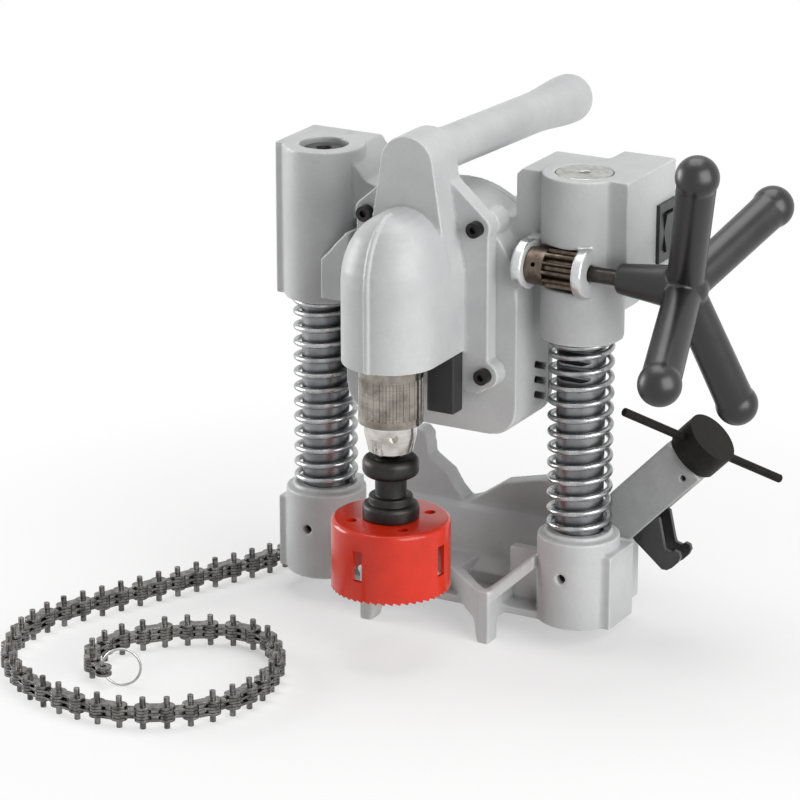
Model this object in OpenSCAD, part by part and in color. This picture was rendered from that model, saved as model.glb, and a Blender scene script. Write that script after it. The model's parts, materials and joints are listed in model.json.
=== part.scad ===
// Pipe hole cutting machine: a geared motor head that slides on two sprung columns,
// fed by a rack and a four-armed handle, on a saddle base held to the pipe by a chain.
// Millimetres, +Z up. Columns stand on the X axis, the cutter is on the -Y side,
// the floor is Z = 0 and the origin lies on the floor midway between the columns.

/* [Columns and feed] */
// Distance between the two column axes
column_spacing = 186; // [180:2:200]
// Diameter of both columns
column_d = 31; // [29:0.5:32]
// How far the head feeds down
feed_travel = 60; // [40:5:60]
// Diameter of the cast bosses round the columns
boss_d = 53; // [51:1:55]
// Wire diameter of the return springs
spring_wire = 3.8; // [3.2:0.1:4.2]
// Number of curls in each return spring
spring_curls = 13; // [9:1:15]
// Module of the feed rack and pinion
rack_module = 1.8; // [1.6:0.1:1.9]
// Teeth on the feed pinion
pinion_teeth = 12; // [12:1:13]

/* [Base] */
// Underside of the base bosses and ledges above the floor
base_low = 16; // [14:1:18]
// Top of the base end blocks above the floor
base_high = 65; // [60:1:68]
// Height of the spring seats above the floor
seat_z = 77; // [74:1:80]
// Length of the end blocks beyond the column axes
end_block_len = 29; // [27:1:32]
// Distance of each saddle rail from the middle
rail_x = 43; // [40:1:46]
// Width of a saddle rail
rail_w = 9; // [7:0.5:11]
// Height of the saddle walls
saddle_h = 36; // [33:1:40]
// Reach of the saddle in front of the column axes
saddle_front = 37; // [34:1:38]
// Reach of the saddle behind the column axes
saddle_rear = 95; // [85:1:110]

/* [Head] */
// Underside of the head bosses at rest
head_low = 206; // [200:1:212]
// Top of the left head boss
left_top = 307; // [300:1:312]
// Top of the right head boss
right_top = 312; // [308:1:316]
// Width of the gear case
case_w = 122; // [116:1:124]
// Underside of the gear case
case_low = 140; // [138:1:146]
// Top of the gear case
case_top = 292; // [290:1:295]
// Outside diameter of the motor housing
motor_d = 98; // [94:1:102]
// Length of the motor housing tube
motor_len = 104; // [98:1:120]

/* [Spindle and cutter] */
// Distance of the spindle in front of the columns
spindle_reach = 80; // [80:1:86]
// Radius of the spindle nose
nose_r = 31; // [30.5:0.5:33]
// Underside of the spindle nose
nose_low = 197; // [195:1:199]
// Outside diameter of the hole saw
saw_d = 76; // [60:1:80]
// Depth of the hole saw cup
saw_h = 46; // [42:1:50]
// Wall of the hole saw cup
saw_wall = 2.4; // [2:0.1:3]
// Diameter of the chuck sleeve
chuck_d = 41; // [38:1:43]
// Diameter of the pilot drill
pilot_d = 6.4; // [5:0.2:8]

/* [Handles] */
// Radius of the carry handle grip
grip_r = 13.5; // [12:0.5:15]
// Length of the carry handle
grip_len = 209; // [190:1:220]
// Radius from the feed shaft to the tips of the feed handle
feed_arm_r = 88; // [78:1:90]
// Radius of the ball ends of the feed handle
feed_ball_r = 13.5; // [12.5:0.5:14.5]

/* [Chain clamp] */
// Slope of the clamp arm
arm_angle = 46; // [42:1:48]
// Depth of the clamp arm channel
arm_depth = 31; // [29:1:36]
// Width of the clamp arm channel
arm_w = 27; // [27:1:30]
// Travel of the chain hook along the arm
hook_travel = 24; // [12:1:24]
// Length of the tommy bar
tommy_len = 134; // [110:1:136]
// Pitch of the chain
chain_pitch = 14.7; // [14.2:0.1:15]

/* [Hidden] */
$fn = 64;
cast_grey = "#b9bbbc";
steel = "#c9ccce";
dark_steel = "#4a4744";
black = "#2b2b2b";
saw_red = "#d63a26";
bronze = "#a9854a";

// Clearances: pieces seated on one another, running shafts, and open air
seat_fit = 0.05;
run_fit = 0.06;
air = 0.4;

// Plan positions
cx = column_spacing / 2;
col_r = column_d / 2;
boss_r = boss_d / 2;
sy = -spindle_reach;

// Base sizes
block_front = -13;
block_depth = 64;
right_depth = 34;
arm_pad_len = 24;
block_x = cx + end_block_len;
column_floor = base_low + 4;
seat_step = 3;
ledge_t = 5;
ledge_front = -18;
rail_in = rail_x - rail_w / 2;
rail_out = rail_x + rail_w / 2;
saddle_crown = 20;
foot_len = 13;
notch_apex = -4;
notch_wall = 5;
pocket_floor = 22;
wall_front = 50;
wall_t = 14;
wall_half = 62;
wall_low = 60;
wall_shoulder = 84;
horn_x = 58;
horn_w = 13;
horn_z = 104;
ramp_front = 8;
ramp_z = 30;
set_screw_d = 6;
set_screw_z = 50;
set_screw_len = 5.4;
set_screw_gap = 0.1;
bracket_screw_z = [base_low + 12, base_low + 24];
bracket_screw_deep = 16;
bracket_t = 4;
bracket_w = 22;
bracket_ear_d = 12;
bracket_ear_t = 3;

// Return springs: one wound wire each, its flat-sided curls clear of the column
curl_rings = 8;
spring_r = (col_r + air + spring_wire / 2) / cos(180 / curl_rings);
spring_low = seat_z;
spring_high = head_low - seat_fit;
seat_land_r = spring_r + spring_wire / 2 + 0.6;

// Feed rack and pinion
rack_flat = col_r - 1.5;
addendum = 0.9 * rack_module;
dedendum = 1.25 * rack_module;
pinion_r = rack_module * pinion_teeth / 2;
pinion_y = -(rack_flat - addendum + pinion_r);
pinion_z = 254.5;
rack_w = 24;
pinion_half = 12;
pinion_hub = 12;
feed_shaft_d = 10;
ear_r = 16;
ear_t = 7.5;
window_gap = 1.4;
pinion_x0 = cx - pinion_half - pinion_hub;
pinion_x1 = cx + pinion_half - 3;
ear_left_x = pinion_x0 - air - ear_t;
ear_right_x = pinion_x1 + air;
rack_pitch = PI * rack_module;
rack_low = pinion_z - feed_travel - 22;
rack_high = pinion_z + 24;
rack_slack = 0.25;
disc_bolt_d = 10;
disc_bolt_len = 13;
column_end = 3;
column_hole_d = 10;
column_hole_deep = 12;

// Head sizes
bush_wall = 2.5;
bush_len = 22;
bush_top_z = 290;
disc_d = 36;
disc_t = 5;
case_front = -28;
case_depth = 46;
case_wall = 7;
case_r = 18;
case_arc_r = case_w / 2;
case_arc_z = case_top - case_arc_r;
case_rear = case_front + case_depth;
gear_window = [68, 76];
gear_window_r = 8;
gear_window_z = 237;
bridge_low = 262;
bridge_front = -8;
bridge_depth = 48;
bridge_in = 50;
bridge_knee = 58;
bridge_root = 32;
left_block_depth = 50;
right_block_low = 246;
right_block_len = 36;
right_block_depth = 70;
head_x1 = cx + right_block_len;
flange_front = -40;
flange_t = case_front - flange_front;
flange_w = 94;
flange_low = 170;
flange_r = 9;
flange_shoulder = 278;
gable_top = 306;
lobe_r = 9;
lobe_len = 16;
screw_low = [45, 183];
screw_high = [39, 278];
screw_d = 6;
screw_head_d = 10;
screw_head_h = 6;

// Spindle nose and fin
dome_z = 250;
dome_h = 42;
fin_front = -60;
fin_rear = case_front;
fin_r = 18.5;
fin_waist = 26;
fin_waist_z = 272;
ridge_w = 3;
ridge_h = 1.4;
handle_z = 318;
stud_d = 12;
stud_len = 15;
bulb_grow = 3;
handle_tilt = 2.1;
// The inside of the nose: lower bearing seat, gear chamber and upper bearing seat
chamber_r = nose_r - 3.5;
chamber_low = nose_low + 14;
tunnel_low = nose_low + 17;
// Key holder under the nose
holder_x = 10.5;
holder_w = 19.5;
holder_depth = 13;
holder_gap = 0.5;
holder_hole_d = 8;
holder_hole_deep = 25;

// Motor and gears
motor_z = 205;
gear_module = 1.25;
small_teeth = 10;
wheel_teeth = 40;
crown_teeth = 36;
gear_gap = 0.3;
small_r = gear_module * small_teeth / 2;
wheel_r = gear_module * wheel_teeth / 2;
crown_r = gear_module * crown_teeth / 2;
crown_face = 5;
lay_z = motor_z + small_r + wheel_r + gear_gap;
crown_z = lay_z - small_r - gear_gap;
lay_y0 = sy + crown_r - crown_face / 2;
motor_wall = 4;
motor_r = motor_d / 2;
motor_y0 = case_rear;
motor_flange_t = 6;
motor_y1 = motor_y0 + motor_flange_t + motor_len;
shaft_d = 12;
lay_d = 9;
plate_y = -8;
plate_t = 6;
core_y0 = motor_y0 + 20;
core_len = 48;
stator_in = 27;
armature_r = 26;
bearing_w = 8;
bearing_d = 28;
cover_t = 6;
hub_len = 16;
motor_screws_low = [44, case_low + 14];
motor_screws_high = [(case_arc_r - 7) * cos(40), case_arc_z + (case_arc_r - 7) * sin(40)];
vent_w = 4;
brush_y = core_y0 + core_len + 14;
commutator_d = 32;
commutator_len = 18;
fan_d = 78;
fan_hub_d = 24;
gland_z = motor_z - motor_r + 12;
gland_d = 14;
gland_nut_d = 18;
cover_screw_d = 4;
cover_head_d = 8;
cover_head_h = 3;
pinion_end_y = plate_y - 11;
wheel_y = plate_y - 10;
lay_bush_d = lay_d + 6;
carrier_y = flange_front + 2;
carrier_t = 8;

// Spindle stack, from the nose down
spindle_d = 16;
spindle_top = 262;
lower_bearing_d = 35;
lower_bearing_z = 199;
lower_bearing_w = 12;
sleeve_low = 158;
chuck_low = 139;
chuck_nose_d = 33;
collar_d = 36;
collar_low = 122;
collar_h = 13;
collar_round = 4.5;
neck_d = 20;
arbor_nut_d = 28;
arbor_nut_h = 6;
plate_low = 94;
plate_h = 10;
plate_round = 3;
rim_steps = 5;
spigot_d = 15.8;
saw_plate = 4.6;
spindle_tail = 20;
crown_h = 12;
crown_root = gear_module * 1.3;
flute_d = 2.6;
key_hole_d = 5.5;
key_turn = 35;
jaw = [7, 4.2, 30];
slot_w = 7;
slot_h = 20;
slot_z = 14;
slot_angles = [-5, 85, 175, 265];
saw_top = plate_low;
saw_low = saw_top - saw_h;
shank_d = 11;
saw_round = 3;
saw_teeth = 48;
tooth_depth = 1.8;
tooth_step = PI * saw_d / saw_teeth;
pilot_point = 4;
pilot_ahead = 14;

// Feed handle
hub_x0 = head_x1 + 0.6;
hub_x1 = hub_x0 + 31.4;
hub_r = 13;
hub_small_r = 9.5;
spider_r = 15;
spider_x = hub_x1 + 12;
tip_x = hub_x1 + 34;
feed_arm_len = norm([tip_x - spider_x, feed_arm_r]);
first_arm = 23;
arm_root_r = feed_ball_r - 2;
arm_tip_r = feed_ball_r - 1.2;
feed_screw_d = 3;

// Chain clamp arm, in a frame whose X runs up the arm
clamp_y = 38;
arm_x = 111;
arm_z = 80;
arm_len = 62;
arm_tail = 34;
end_plate_x = 50;
end_plate_t = 6;
bay_x = -8;
arm_wall = 3;
clamp_screw_d = 10;
drum_d = 36;
drum_len = 18.5;
drum_gap = 1;
drum_x0 = arm_len + drum_gap;
tommy_d = 5.6;
nut_len = 18;
nut_x0 = -2;
nut_low = -7.4;
hook_pin_z = -13;
hook_slot_w = 21;
hook_plate_t = 3;
hook_gap = 13.6;
arm_bolt_d = 6;
arm_bolt_head = 10;
arm_bolt_gap = 9;
arm_bolt_seat = 36;
arm_bolt_grip = 6;
screw_seat = 7;
cross_hole_d = 4;
cross_hole_deep = 8;
screw_end = drum_x0 + drum_len / 2 - tommy_d / 2 - 1.5;
tommy_turn = 46.5;
boss_low = end_plate_x + end_plate_t + air - drum_x0;
tongue = 10;
hook_pin_d = 5;
hook_bar = [-7, -27];

// Chain: pins stand upright, links turn in plan
pin_d = 3.8;
pin_h = 20.6;
leaf_w = 10.4;
leaf_waist = 6.8;
leaf_t = 1.7;
leaf_step = 2;
chain_z = pin_h / 2 + 0.2;
chain_out = 14;
chain_start = [-block_x - chain_out, 34];
chain_heading = -93.9;
// Each stretch of chain: number of links and the turn of each link in degrees
chain_bends = [[2, -9.7], [2, -1.8], [8, 0.4], [8, 9.5], [6, 7.6], [4, 11.8], [4, 10.8], [4, 9.9], [3, 22],
    [4, 8.5], [2, 16.8], [3, 30.5]];
chain_turns = [for (b = chain_bends) for (k = [1 : b[0]]) b[1]];
chain_links = len(chain_turns);
// First link of each run of chain that swings as one piece
run_starts = [0, 10, 20, 30, 40, chain_links];
chain_half = 2 * leaf_step + leaf_t / 2;
ring_r = 12;
ring_wire = 1.6;
ring_tilt = 12;
ring_turn = 25;
ring_sag = 0.3;

// Switch on the right end of the head
switch_y = 42;
switch_z = 269;
switch_w = 26;
switch_h = 38;
switch_t = 2.5;
rocker_w = 12;
rocker_h = 24;
switch_box_depth = 12;
switch_rim = 3;
rocker_gap = 1.2;
rocker_deep = 2;
rocker_pin_d = 3;
rocker_pin_len = rocker_w + 4.8;

// Places a child drawn along +Z so that it runs along +X or +Y
module along_x(x, y, z) translate([x, y, z]) rotate([0, 90, 0]) children();
module along_y(x, y, z) translate([x, y, z]) rotate([-90, 0, 0]) children();
// Extrudes a front outline (X, Z) backwards from y, or a side outline (Y, Z) from x
module front_extrude(y, depth)
    translate([0, y + depth, 0]) rotate([90, 0, 0]) linear_extrude(depth) children();
module side_extrude(x, length) translate([x, 0, 0]) rotate([90, 0, 90]) linear_extrude(length) children();
module both_sides() for (s = [-1, 1]) scale_side(s) children();
module scale_side(s) if (s > 0) children(); else mirror([1, 0, 0]) children();
module rod(d, h) cylinder(d = d, h = h);
// Disc with rounded rims, the lower one with radius low and the upper one with radius high
function rim_arc(r, z, round, from) = [for (k = [0 : rim_steps]) let (a = from + 90 * k / rim_steps)
    [r - round + round * cos(a), z + round * sin(a)]];
module soft_disc(d, h, low, high) rotate_extrude() polygon(concat([[0, 0]],
    low > 0 ? rim_arc(d / 2, low, low, -90) : [[d / 2, 0]], rim_arc(d / 2, h - high, high, 0), [[0, h]]));
module ring(outer_d, inner_d, h) difference() {
    cylinder(d = outer_d, h = h);
    translate([0, 0, -1]) cylinder(d = inner_d, h = h + 2);
}
module rounded_rect(w, h, r) {
    square([w - 2 * r, h], center = true);
    square([w, h - 2 * r], center = true);
    for (x = [-1, 1], y = [-1, 1]) translate([x * (w / 2 - r), y * (h / 2 - r)]) circle(r);
}
// Screw with a round head below Z = 0 and a six-sided socket in the head
module socket_screw(d, length, head_d, head_h) difference() {
    union() {
        rod(d, length);
        translate([0, 0, -head_h]) rod(head_d, head_h);
    }
    translate([0, 0, -head_h - 1]) cylinder(d = head_d / 2, h = 1 + head_h / 2, $fn = 6);
}

// Involute gear outline: flank points from the root to the tip of every tooth
function involute(angle) = tan(angle) - angle * PI / 180;
function flank_angle(r, base_r, half, pitch_angle) =
    half + (involute(pitch_angle) - (r > base_r ? involute(acos(base_r / r)) : 0)) * 180 / PI;
function polar(r, a) = [r * cos(a), r * sin(a)];
module gear_outline(teeth, m, add, ded, slack) {
    pressure = 20;
    pitch_r = teeth * m / 2;
    base_r = pitch_r * cos(pressure);
    half = 90 / teeth - slack / (2 * pitch_r) * 180 / PI;
    steps = [for (k = [0 : 4]) pitch_r - ded + (add + ded) * k / 4];
    polygon([for (t = [0 : teeth - 1]) let (mid = 360 * t / teeth) each concat(
        [for (r = steps) polar(r, mid - flank_angle(r, base_r, half, pressure))],
        [for (k = [4 : -1 : 0]) polar(steps[k], mid + flank_angle(steps[k], base_r, half, pressure))])]);
}

// Tube swept along points, with the given outward direction at each point
function unit(v) = v / norm(v);
function tangent(p, i) = unit(p[min(i + 1, len(p) - 1)] - p[max(i - 1, 0)]);
function tube_ring(p, out, i, r, sides) = let (t = tangent(p, i), n = unit(out[i] - (out[i] * t) * t),
    b = cross(t, n)) [for (k = [0 : sides - 1]) let (a = 360 * k / sides)
    p[i] + r * (cos(a) * n + sin(a) * b)];
module tube(p, out, r, sides) {
    last = len(p) - 1;
    rings = [for (i = [0 : last]) each tube_ring(p, out, i, r, sides)];
    walls = [for (i = [0 : last - 1]) for (k = [0 : sides - 1])
        let (a = i * sides + k, b = i * sides + (k + 1) % sides)
        each [[a, b, a + sides], [b, b + sides, a + sides]]];
    end = last * sides;
    caps = [for (k = [1 : sides - 2]) each [[0, k + 1, k], [end, end + k, end + k + 1]]];
    polyhedron(points = rings, faces = concat(walls, caps));
}
// Least clear gap between points of a coil that lie at least half a curl apart
function coil_gap(p, apart, d) = min([for (i = [0 : len(p) - 1]) for (j = [i + apart : 1 : len(p) - 1])
    norm(p[i] - p[j])]) - d;

// Base

module base_saddle() {
    difference() {
        front_extrude(-saddle_front, saddle_front + saddle_rear) polygon([[-rail_out, 0], [-rail_in, 0],
            [-rail_in + 4, base_low - 2], [0, saddle_crown], [rail_in - 4, base_low - 2], [rail_in, 0],
            [rail_out, 0], [rail_out, saddle_h], [-rail_out, saddle_h]]);
        translate([0, 0, -1]) linear_extrude(saddle_h + 2)
            polygon([[-rail_in - 2, -saddle_front - 1], [0, notch_apex], [rail_in + 2, -saddle_front - 1]]);
        translate([-rail_out - 1, foot_len - saddle_front, -1])
            cube([2 * rail_out + 2, saddle_front + saddle_rear - 2 * foot_len, base_low - 1]);
        both_sides() translate([0, 0, pocket_floor]) linear_extrude(saddle_h)
            polygon([[rail_out - notch_wall, notch_wall - saddle_front], [10, notch_apex + 2],
                [10, ramp_front + 14], [rail_out - notch_wall, ramp_front + 14]]);
    }
}

module base_brace() {
    start = [rail_out - 2, 5 - saddle_front];
    end = [cx - boss_r + 4, -boss_r + 9];
    run = norm(end - start);
    translate([start[0], start[1], 0]) rotate([0, 0, atan2(end[1] - start[1], end[0] - start[0])])
        front_extrude(-3, 6) polygon([[0, saddle_h - 9], [run, base_high - 14], [run, base_high - 5],
            [0, saddle_h]]);
}

module base_rear_wall() {
    front_extrude(wall_front, wall_t) polygon([[-wall_half, base_low], [wall_half, base_low],
        [wall_half, wall_shoulder], [wall_half - 22, wall_shoulder], [12, wall_shoulder - 7],
        [-8, wall_low + 3], [-16, wall_low], [-22, wall_low + 6], [-29, wall_shoulder - 7],
        [horn_w - horn_x + 2, wall_shoulder + 2],
        [horn_w - horn_x, horn_z - 4], [horn_w - horn_x - 4, horn_z], [4 - horn_x, horn_z],
        [-horn_x, horn_z - 4], [-wall_half, wall_shoulder]]);
    side_extrude(-wall_half, 2 * wall_half) polygon([[ramp_front, base_low], [wall_front + 1, base_low],
        [wall_front + 1, wall_low], [wall_front - 6, wall_low - 3], [ramp_front + 14, ramp_z + 6],
        [ramp_front, ramp_z]]);
}

module base_casting() color(cast_grey) difference() {
    union() {
        both_sides() translate([cx, 0, base_low]) {
            cylinder(r = boss_r, h = seat_z - seat_step - base_low);
            cylinder(r = seat_land_r, h = seat_z - base_low);
        }
        translate([-block_x, block_front, base_low]) cube([end_block_len, block_depth, base_high - base_low]);
        translate([cx, block_front, base_low]) cube([end_block_len, right_depth, base_high - base_low]);
        translate([cx - 6, block_front, base_low]) cube([arm_pad_len, block_depth + 2, base_high - base_low]);
        translate([-cx, ledge_front, base_low]) cube([2 * cx, wall_front - ledge_front, ledge_t]);
        both_sides() translate([rail_out - 3, -2, base_low])
            cube([cx - rail_out, 8, saddle_h + 20 - base_low]);
        base_saddle();
        both_sides() base_brace();
        base_rear_wall();
    }
    both_sides() {
        translate([cx, 0, column_floor]) rod(column_d + 2 * seat_fit, seat_z);
        along_y(cx, -boss_r - 1, set_screw_z) rod(set_screw_d + 2 * seat_fit, boss_r);
    }
    for (p = arm_bolt_points()) translate([p[0], p[1], 0]) {
        translate([0, 0, base_low - 1]) rod(arm_bolt_head + 2 * air, arm_bolt_seat - base_low + 1);
        rod(arm_bolt_d + 2 * seat_fit, base_high + 1);
    }
    for (z = bracket_screw_z) along_x(-block_x - 1, chain_start[1], z)
        rod(screw_d + 2 * seat_fit, bracket_screw_deep + 1);
    clamp_frame() hook_bay();
}

function arm_bolt_points() = [for (s = [-1, 1]) [cx + 7, clamp_y + s * arm_bolt_gap]];
module left_column() color(steel) translate([-cx, 0, column_floor]) difference() {
    union() {
        rod(column_d, left_top - 2 * column_end - column_floor);
        translate([0, 0, left_top - 2 * column_end - column_floor])
            cylinder(d1 = column_d, d2 = column_d - 2 * column_end, h = column_end);
    }
    translate([0, 0, left_top - column_end - column_hole_deep - column_floor])
        rod(column_hole_d, 2 * column_hole_deep);
}

module right_column() color(steel) translate([cx, 0, 0]) difference() {
    translate([0, 0, column_floor]) rod(column_d, right_top - disc_t - column_floor);
    translate([-rack_w / 2, -col_r - 1, rack_low])
        cube([rack_w, col_r + 1 - rack_flat, rack_high - rack_low]);
    for (k = [ceil((rack_low - pinion_z) / rack_pitch) + 1 : floor((rack_high - pinion_z) / rack_pitch) - 1])
        side_extrude(-rack_w / 2, rack_w) rack_gap(pinion_z + k * rack_pitch);
    translate([0, 0, right_top - disc_t - disc_bolt_len - 1])
        rod(disc_bolt_d + 2 * seat_fit, 2 * disc_bolt_len);
}
module rack_gap(z) {
    slope = tan(20);
    mouth = rack_pitch / 4 + addendum * slope + rack_slack / 2;
    bottom = rack_pitch / 4 - dedendum * slope + rack_slack / 2;
    tip_y = -rack_flat;
    polygon([[tip_y - 1, z - mouth - slope], [tip_y - 1, z + mouth + slope],
        [tip_y + addendum + dedendum, z + bottom], [tip_y + addendum + dedendum, z - bottom]]);
}

// The ends of each spring stand square on the two seats
function spring_points() = let (leg = spring_wire, z0 = spring_low + leg, z1 = spring_high - leg,
    n = spring_curls * curl_rings) concat([[spring_r, 0, spring_low]],
    [for (i = [0 : n]) concat(polar(spring_r, 360 * i / curl_rings), z0 + (z1 - z0) * i / n)],
    [[spring_r, 0, spring_high]]);
function spring_out() = let (n = spring_curls * curl_rings) concat([[1, 0, 0]],
    [for (i = [0 : n]) let (a = 360 * i / curl_rings) [cos(a), sin(a), 0]], [[1, 0, 0]]);
module return_spring() tube(spring_points(), spring_out(), spring_wire / 2, 6);
module left_spring() color(steel) translate([-cx, 0, 0]) return_spring();
module right_spring() color(steel) translate([cx, 0, 0]) return_spring();
echo(least_gap_in_springs = coil_gap(spring_points(), curl_rings / 2 + 1, spring_wire));

module column_set_screws() color(dark_steel) both_sides()
    along_y(cx, -col_r - set_screw_gap - set_screw_len, set_screw_z) difference() {
        rod(set_screw_d, set_screw_len);
        translate([0, 0, -1]) cylinder(d = set_screw_d / 2, h = set_screw_len / 2, $fn = 6);
    }

module stop_disc() color(steel) translate([cx, 0, right_top - disc_t]) difference() {
    union() {
        rod(disc_d, disc_t);
        translate([0, 0, -disc_bolt_len]) rod(disc_bolt_d, disc_bolt_len + 1);
    }
    translate([0, 0, disc_t - 3]) cylinder(d = disc_bolt_d - 2, h = disc_t, $fn = 6);
}

// Chain clamp

module clamp_frame() translate([arm_x, clamp_y, arm_z]) rotate([0, -arm_angle, 0]) children();

module clamp_arm() color(cast_grey) difference() {
    intersection() {
        clamp_frame() translate([-arm_tail, -arm_w / 2, -arm_depth / 2])
            cube([arm_tail + arm_len, arm_w, arm_depth]);
        translate([cx - boss_r / 2, 0, base_high]) cube([2 * arm_x, 2 * arm_x, 2 * arm_x]);
    }
    clamp_frame() {
        hook_bay();
        translate([end_plate_x + end_plate_t, -arm_w / 2 + arm_wall, -arm_depth / 2 + arm_wall])
            cube([arm_len, arm_w - 2 * arm_wall, arm_depth - 2 * arm_wall]);
        along_x(bay_x - screw_seat, 0, 0) rod(clamp_screw_d + 2 * run_fit, 2 * arm_len);
        along_y(end_plate_x + end_plate_t / 2, -arm_w / 2 - 1, -arm_depth / 4)
            rod(cross_hole_d, cross_hole_deep + 1);
    }
    translate([cx, 0, base_high - 1]) cylinder(r = boss_r + air, h = seat_z);
    for (p = arm_bolt_points()) translate([p[0], p[1], base_high - 1])
        rod(arm_bolt_d + 2 * seat_fit, arm_bolt_grip + 2);
}

// Space that the nut and the hook travel in, open on the arm's lower side
module hook_bay() translate([bay_x, -hook_slot_w / 2, -2 * arm_depth])
    cube([end_plate_x - bay_x, hook_slot_w, 2.5 * arm_depth - arm_wall]);

module arm_bolts() color(dark_steel) for (p = arm_bolt_points()) translate([p[0], p[1], arm_bolt_seat])
    socket_screw(arm_bolt_d, base_high + arm_bolt_grip - arm_bolt_seat, arm_bolt_head, arm_bolt_d);

module clamp_screw() color(steel) clamp_frame() along_x(bay_x - screw_seat + 0.5, 0, 0)
    rod(clamp_screw_d, screw_end - bay_x + screw_seat - 0.5);

module clamp_drum() color(dark_steel) clamp_frame() along_x(drum_x0, 0, 0) difference() {
    union() {
        rod(drum_d, drum_len);
        translate([0, 0, boss_low]) rod(drum_d / 2, 1 - boss_low);
    }
    translate([0, 0, boss_low - 1]) rod(clamp_screw_d + 2 * seat_fit, screw_end - drum_x0 - boss_low + 1.5);
    translate([0, 0, drum_len / 2]) rotate(tommy_turn) rotate([0, 90, 0])
        translate([0, 0, -drum_d]) rod(tommy_d + 2 * seat_fit, 2 * drum_d);
}

module tommy_bar() color(dark_steel) clamp_frame() along_x(drum_x0 + drum_len / 2, 0, 0) rotate(tommy_turn)
    rotate([0, 90, 0]) translate([0, 0, -tommy_len / 2]) rod(tommy_d, tommy_len);

module hook_nut() color(dark_steel) clamp_frame() translate([nut_x0, 0, 0]) difference() {
    union() {
        translate([0, -hook_slot_w / 2 + air, nut_low])
            cube([nut_len, hook_slot_w - 2 * air, arm_depth / 2 - arm_wall - air - nut_low]);
        translate([nut_len / 2 - tongue / 2, -tongue / 2, hook_pin_z - tongue / 2])
            cube([tongue, tongue, tongue / 2 + nut_low - hook_pin_z + 1]);
    }
    along_x(-1, 0, 0) rod(clamp_screw_d + 2 * run_fit, nut_len + 2);
    along_y(nut_len / 2, -tongue, hook_pin_z) rod(hook_pin_d + 2 * seat_fit, 2 * tongue);
}

// Hook: two claw plates on a pin, the chain passes between them and its long pins catch on the claws
module chain_hook() color(black) clamp_frame() translate([nut_x0 + nut_len / 2, 0, hook_pin_z]) {
    for (s = [-1, 1]) translate([0, s * (hook_gap + hook_plate_t) / 2, 0]) rotate([90, 0, 0])
        linear_extrude(hook_plate_t, center = true) hook_outline();
    along_y(0, -hook_gap / 2 - 1, 0) rod(hook_pin_d, hook_gap + 2);
    along_y(hook_bar[0], -hook_gap / 2 - 1, hook_bar[1]) rod(hook_pin_d, hook_gap + 2);
}
module hook_outline() polygon([[-11, 4.6], [8, 4.6], [11.5, -4], [1.5, -19], [0, -22], [2, -25.5], [5, -26],
    [6.5, -29], [5, -32], [1, -33.5], [-5, -33.5], [-9, -32.5], [-11.5, -30], [-13.5, -4]]);

module chain_bracket() color(cast_grey) translate([-block_x, chain_start[1], 0]) difference() {
    union() {
        translate([-bracket_t, -bracket_w / 2, 2]) cube([bracket_t, bracket_w, bracket_screw_z[1] + 4]);
        ear_z = chain_half + air;
        for (z = [chain_z - ear_z - bracket_ear_t, chain_z + ear_z]) translate([-chain_out, 0, z]) {
            cylinder(d = bracket_ear_d, h = bracket_ear_t);
            translate([0, -bracket_ear_d / 2, 0])
                cube([chain_out - bracket_t / 2, bracket_ear_d, bracket_ear_t]);
        }
    }
    translate([-chain_out, 0, -1]) rod(pin_d + 2 * seat_fit, 2 * pin_h);
    for (z = bracket_screw_z) along_x(-bracket_t - 1, 0, z) rod(screw_d + 2 * seat_fit, bracket_t + 2);
}

module bracket_screws() color(dark_steel) for (z = bracket_screw_z)
    along_x(-block_x - bracket_t, chain_start[1], z)
        socket_screw(screw_d, bracket_t + bracket_screw_deep - 2, screw_head_d, screw_head_h);

module chain_anchor_pin() color(dark_steel)
    translate([chain_start[0], chain_start[1], chain_z - pin_h / 2]) rod(pin_d, pin_h);

// Chain: the place and heading of every link follow from the turns
function turns_before(i) = i == 0 ? 0 : chain_turns[i - 1] + turns_before(i - 1);
function heading(i) = chain_heading + turns_before(i);
function pin_point(i) = i == 0 ? chain_start : pin_point(i - 1) + polar(chain_pitch, heading(i - 1));

module leaf_outline(hole) difference() {
    union() {
        for (x = [0, chain_pitch]) translate([x, 0]) circle(d = leaf_w);
        translate([0, -leaf_waist / 2]) square([chain_pitch, leaf_waist]);
    }
    for (x = [0, chain_pitch]) translate([x, 0]) circle(d = hole);
}
module leaves(layers, hole) for (k = layers)
    translate([0, 0, k * leaf_step - leaf_t / 2]) linear_extrude(leaf_t) leaf_outline(hole);
// Links of three leaves hold the pins, links of two leaves turn on them
module chain_link(i) if (i % 2 == 1) leaves([-1, 1], pin_d + 2 * run_fit);
    else difference() {
        union() {
            leaves([-2, 0, 2], 1);
            for (x = [i == 0 ? chain_pitch : 0, chain_pitch]) translate([x, 0, -pin_h / 2]) rod(pin_d, pin_h);
        }
        if (i == 0) translate([0, 0, -pin_h]) rod(pin_d + 2 * run_fit, 2 * pin_h);
    }
module chain_run(k) color(dark_steel) for (i = [run_starts[k] : run_starts[k + 1] - 1])
    translate([pin_point(i)[0], pin_point(i)[1], chain_z]) rotate(heading(i)) chain_link(i);
module chain_run_1() chain_run(0);
module chain_run_2() chain_run(1);
module chain_run_3() chain_run(2);
module chain_run_4() chain_run(3);
module chain_run_5() chain_run(4);

// The ring stands upright through the bores of the last link
module chain_ring() color("#d8d8d4") translate(concat(pin_point(chain_links), chain_z)) rotate(ring_turn)
    translate([ring_r * cos(ring_tilt) - ring_sag, 0, ring_r * sin(ring_tilt)]) rotate([90, 0, 0])
    rotate_extrude() translate([ring_r, 0]) circle(d = ring_wire, $fn = 24);

// Head

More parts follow.
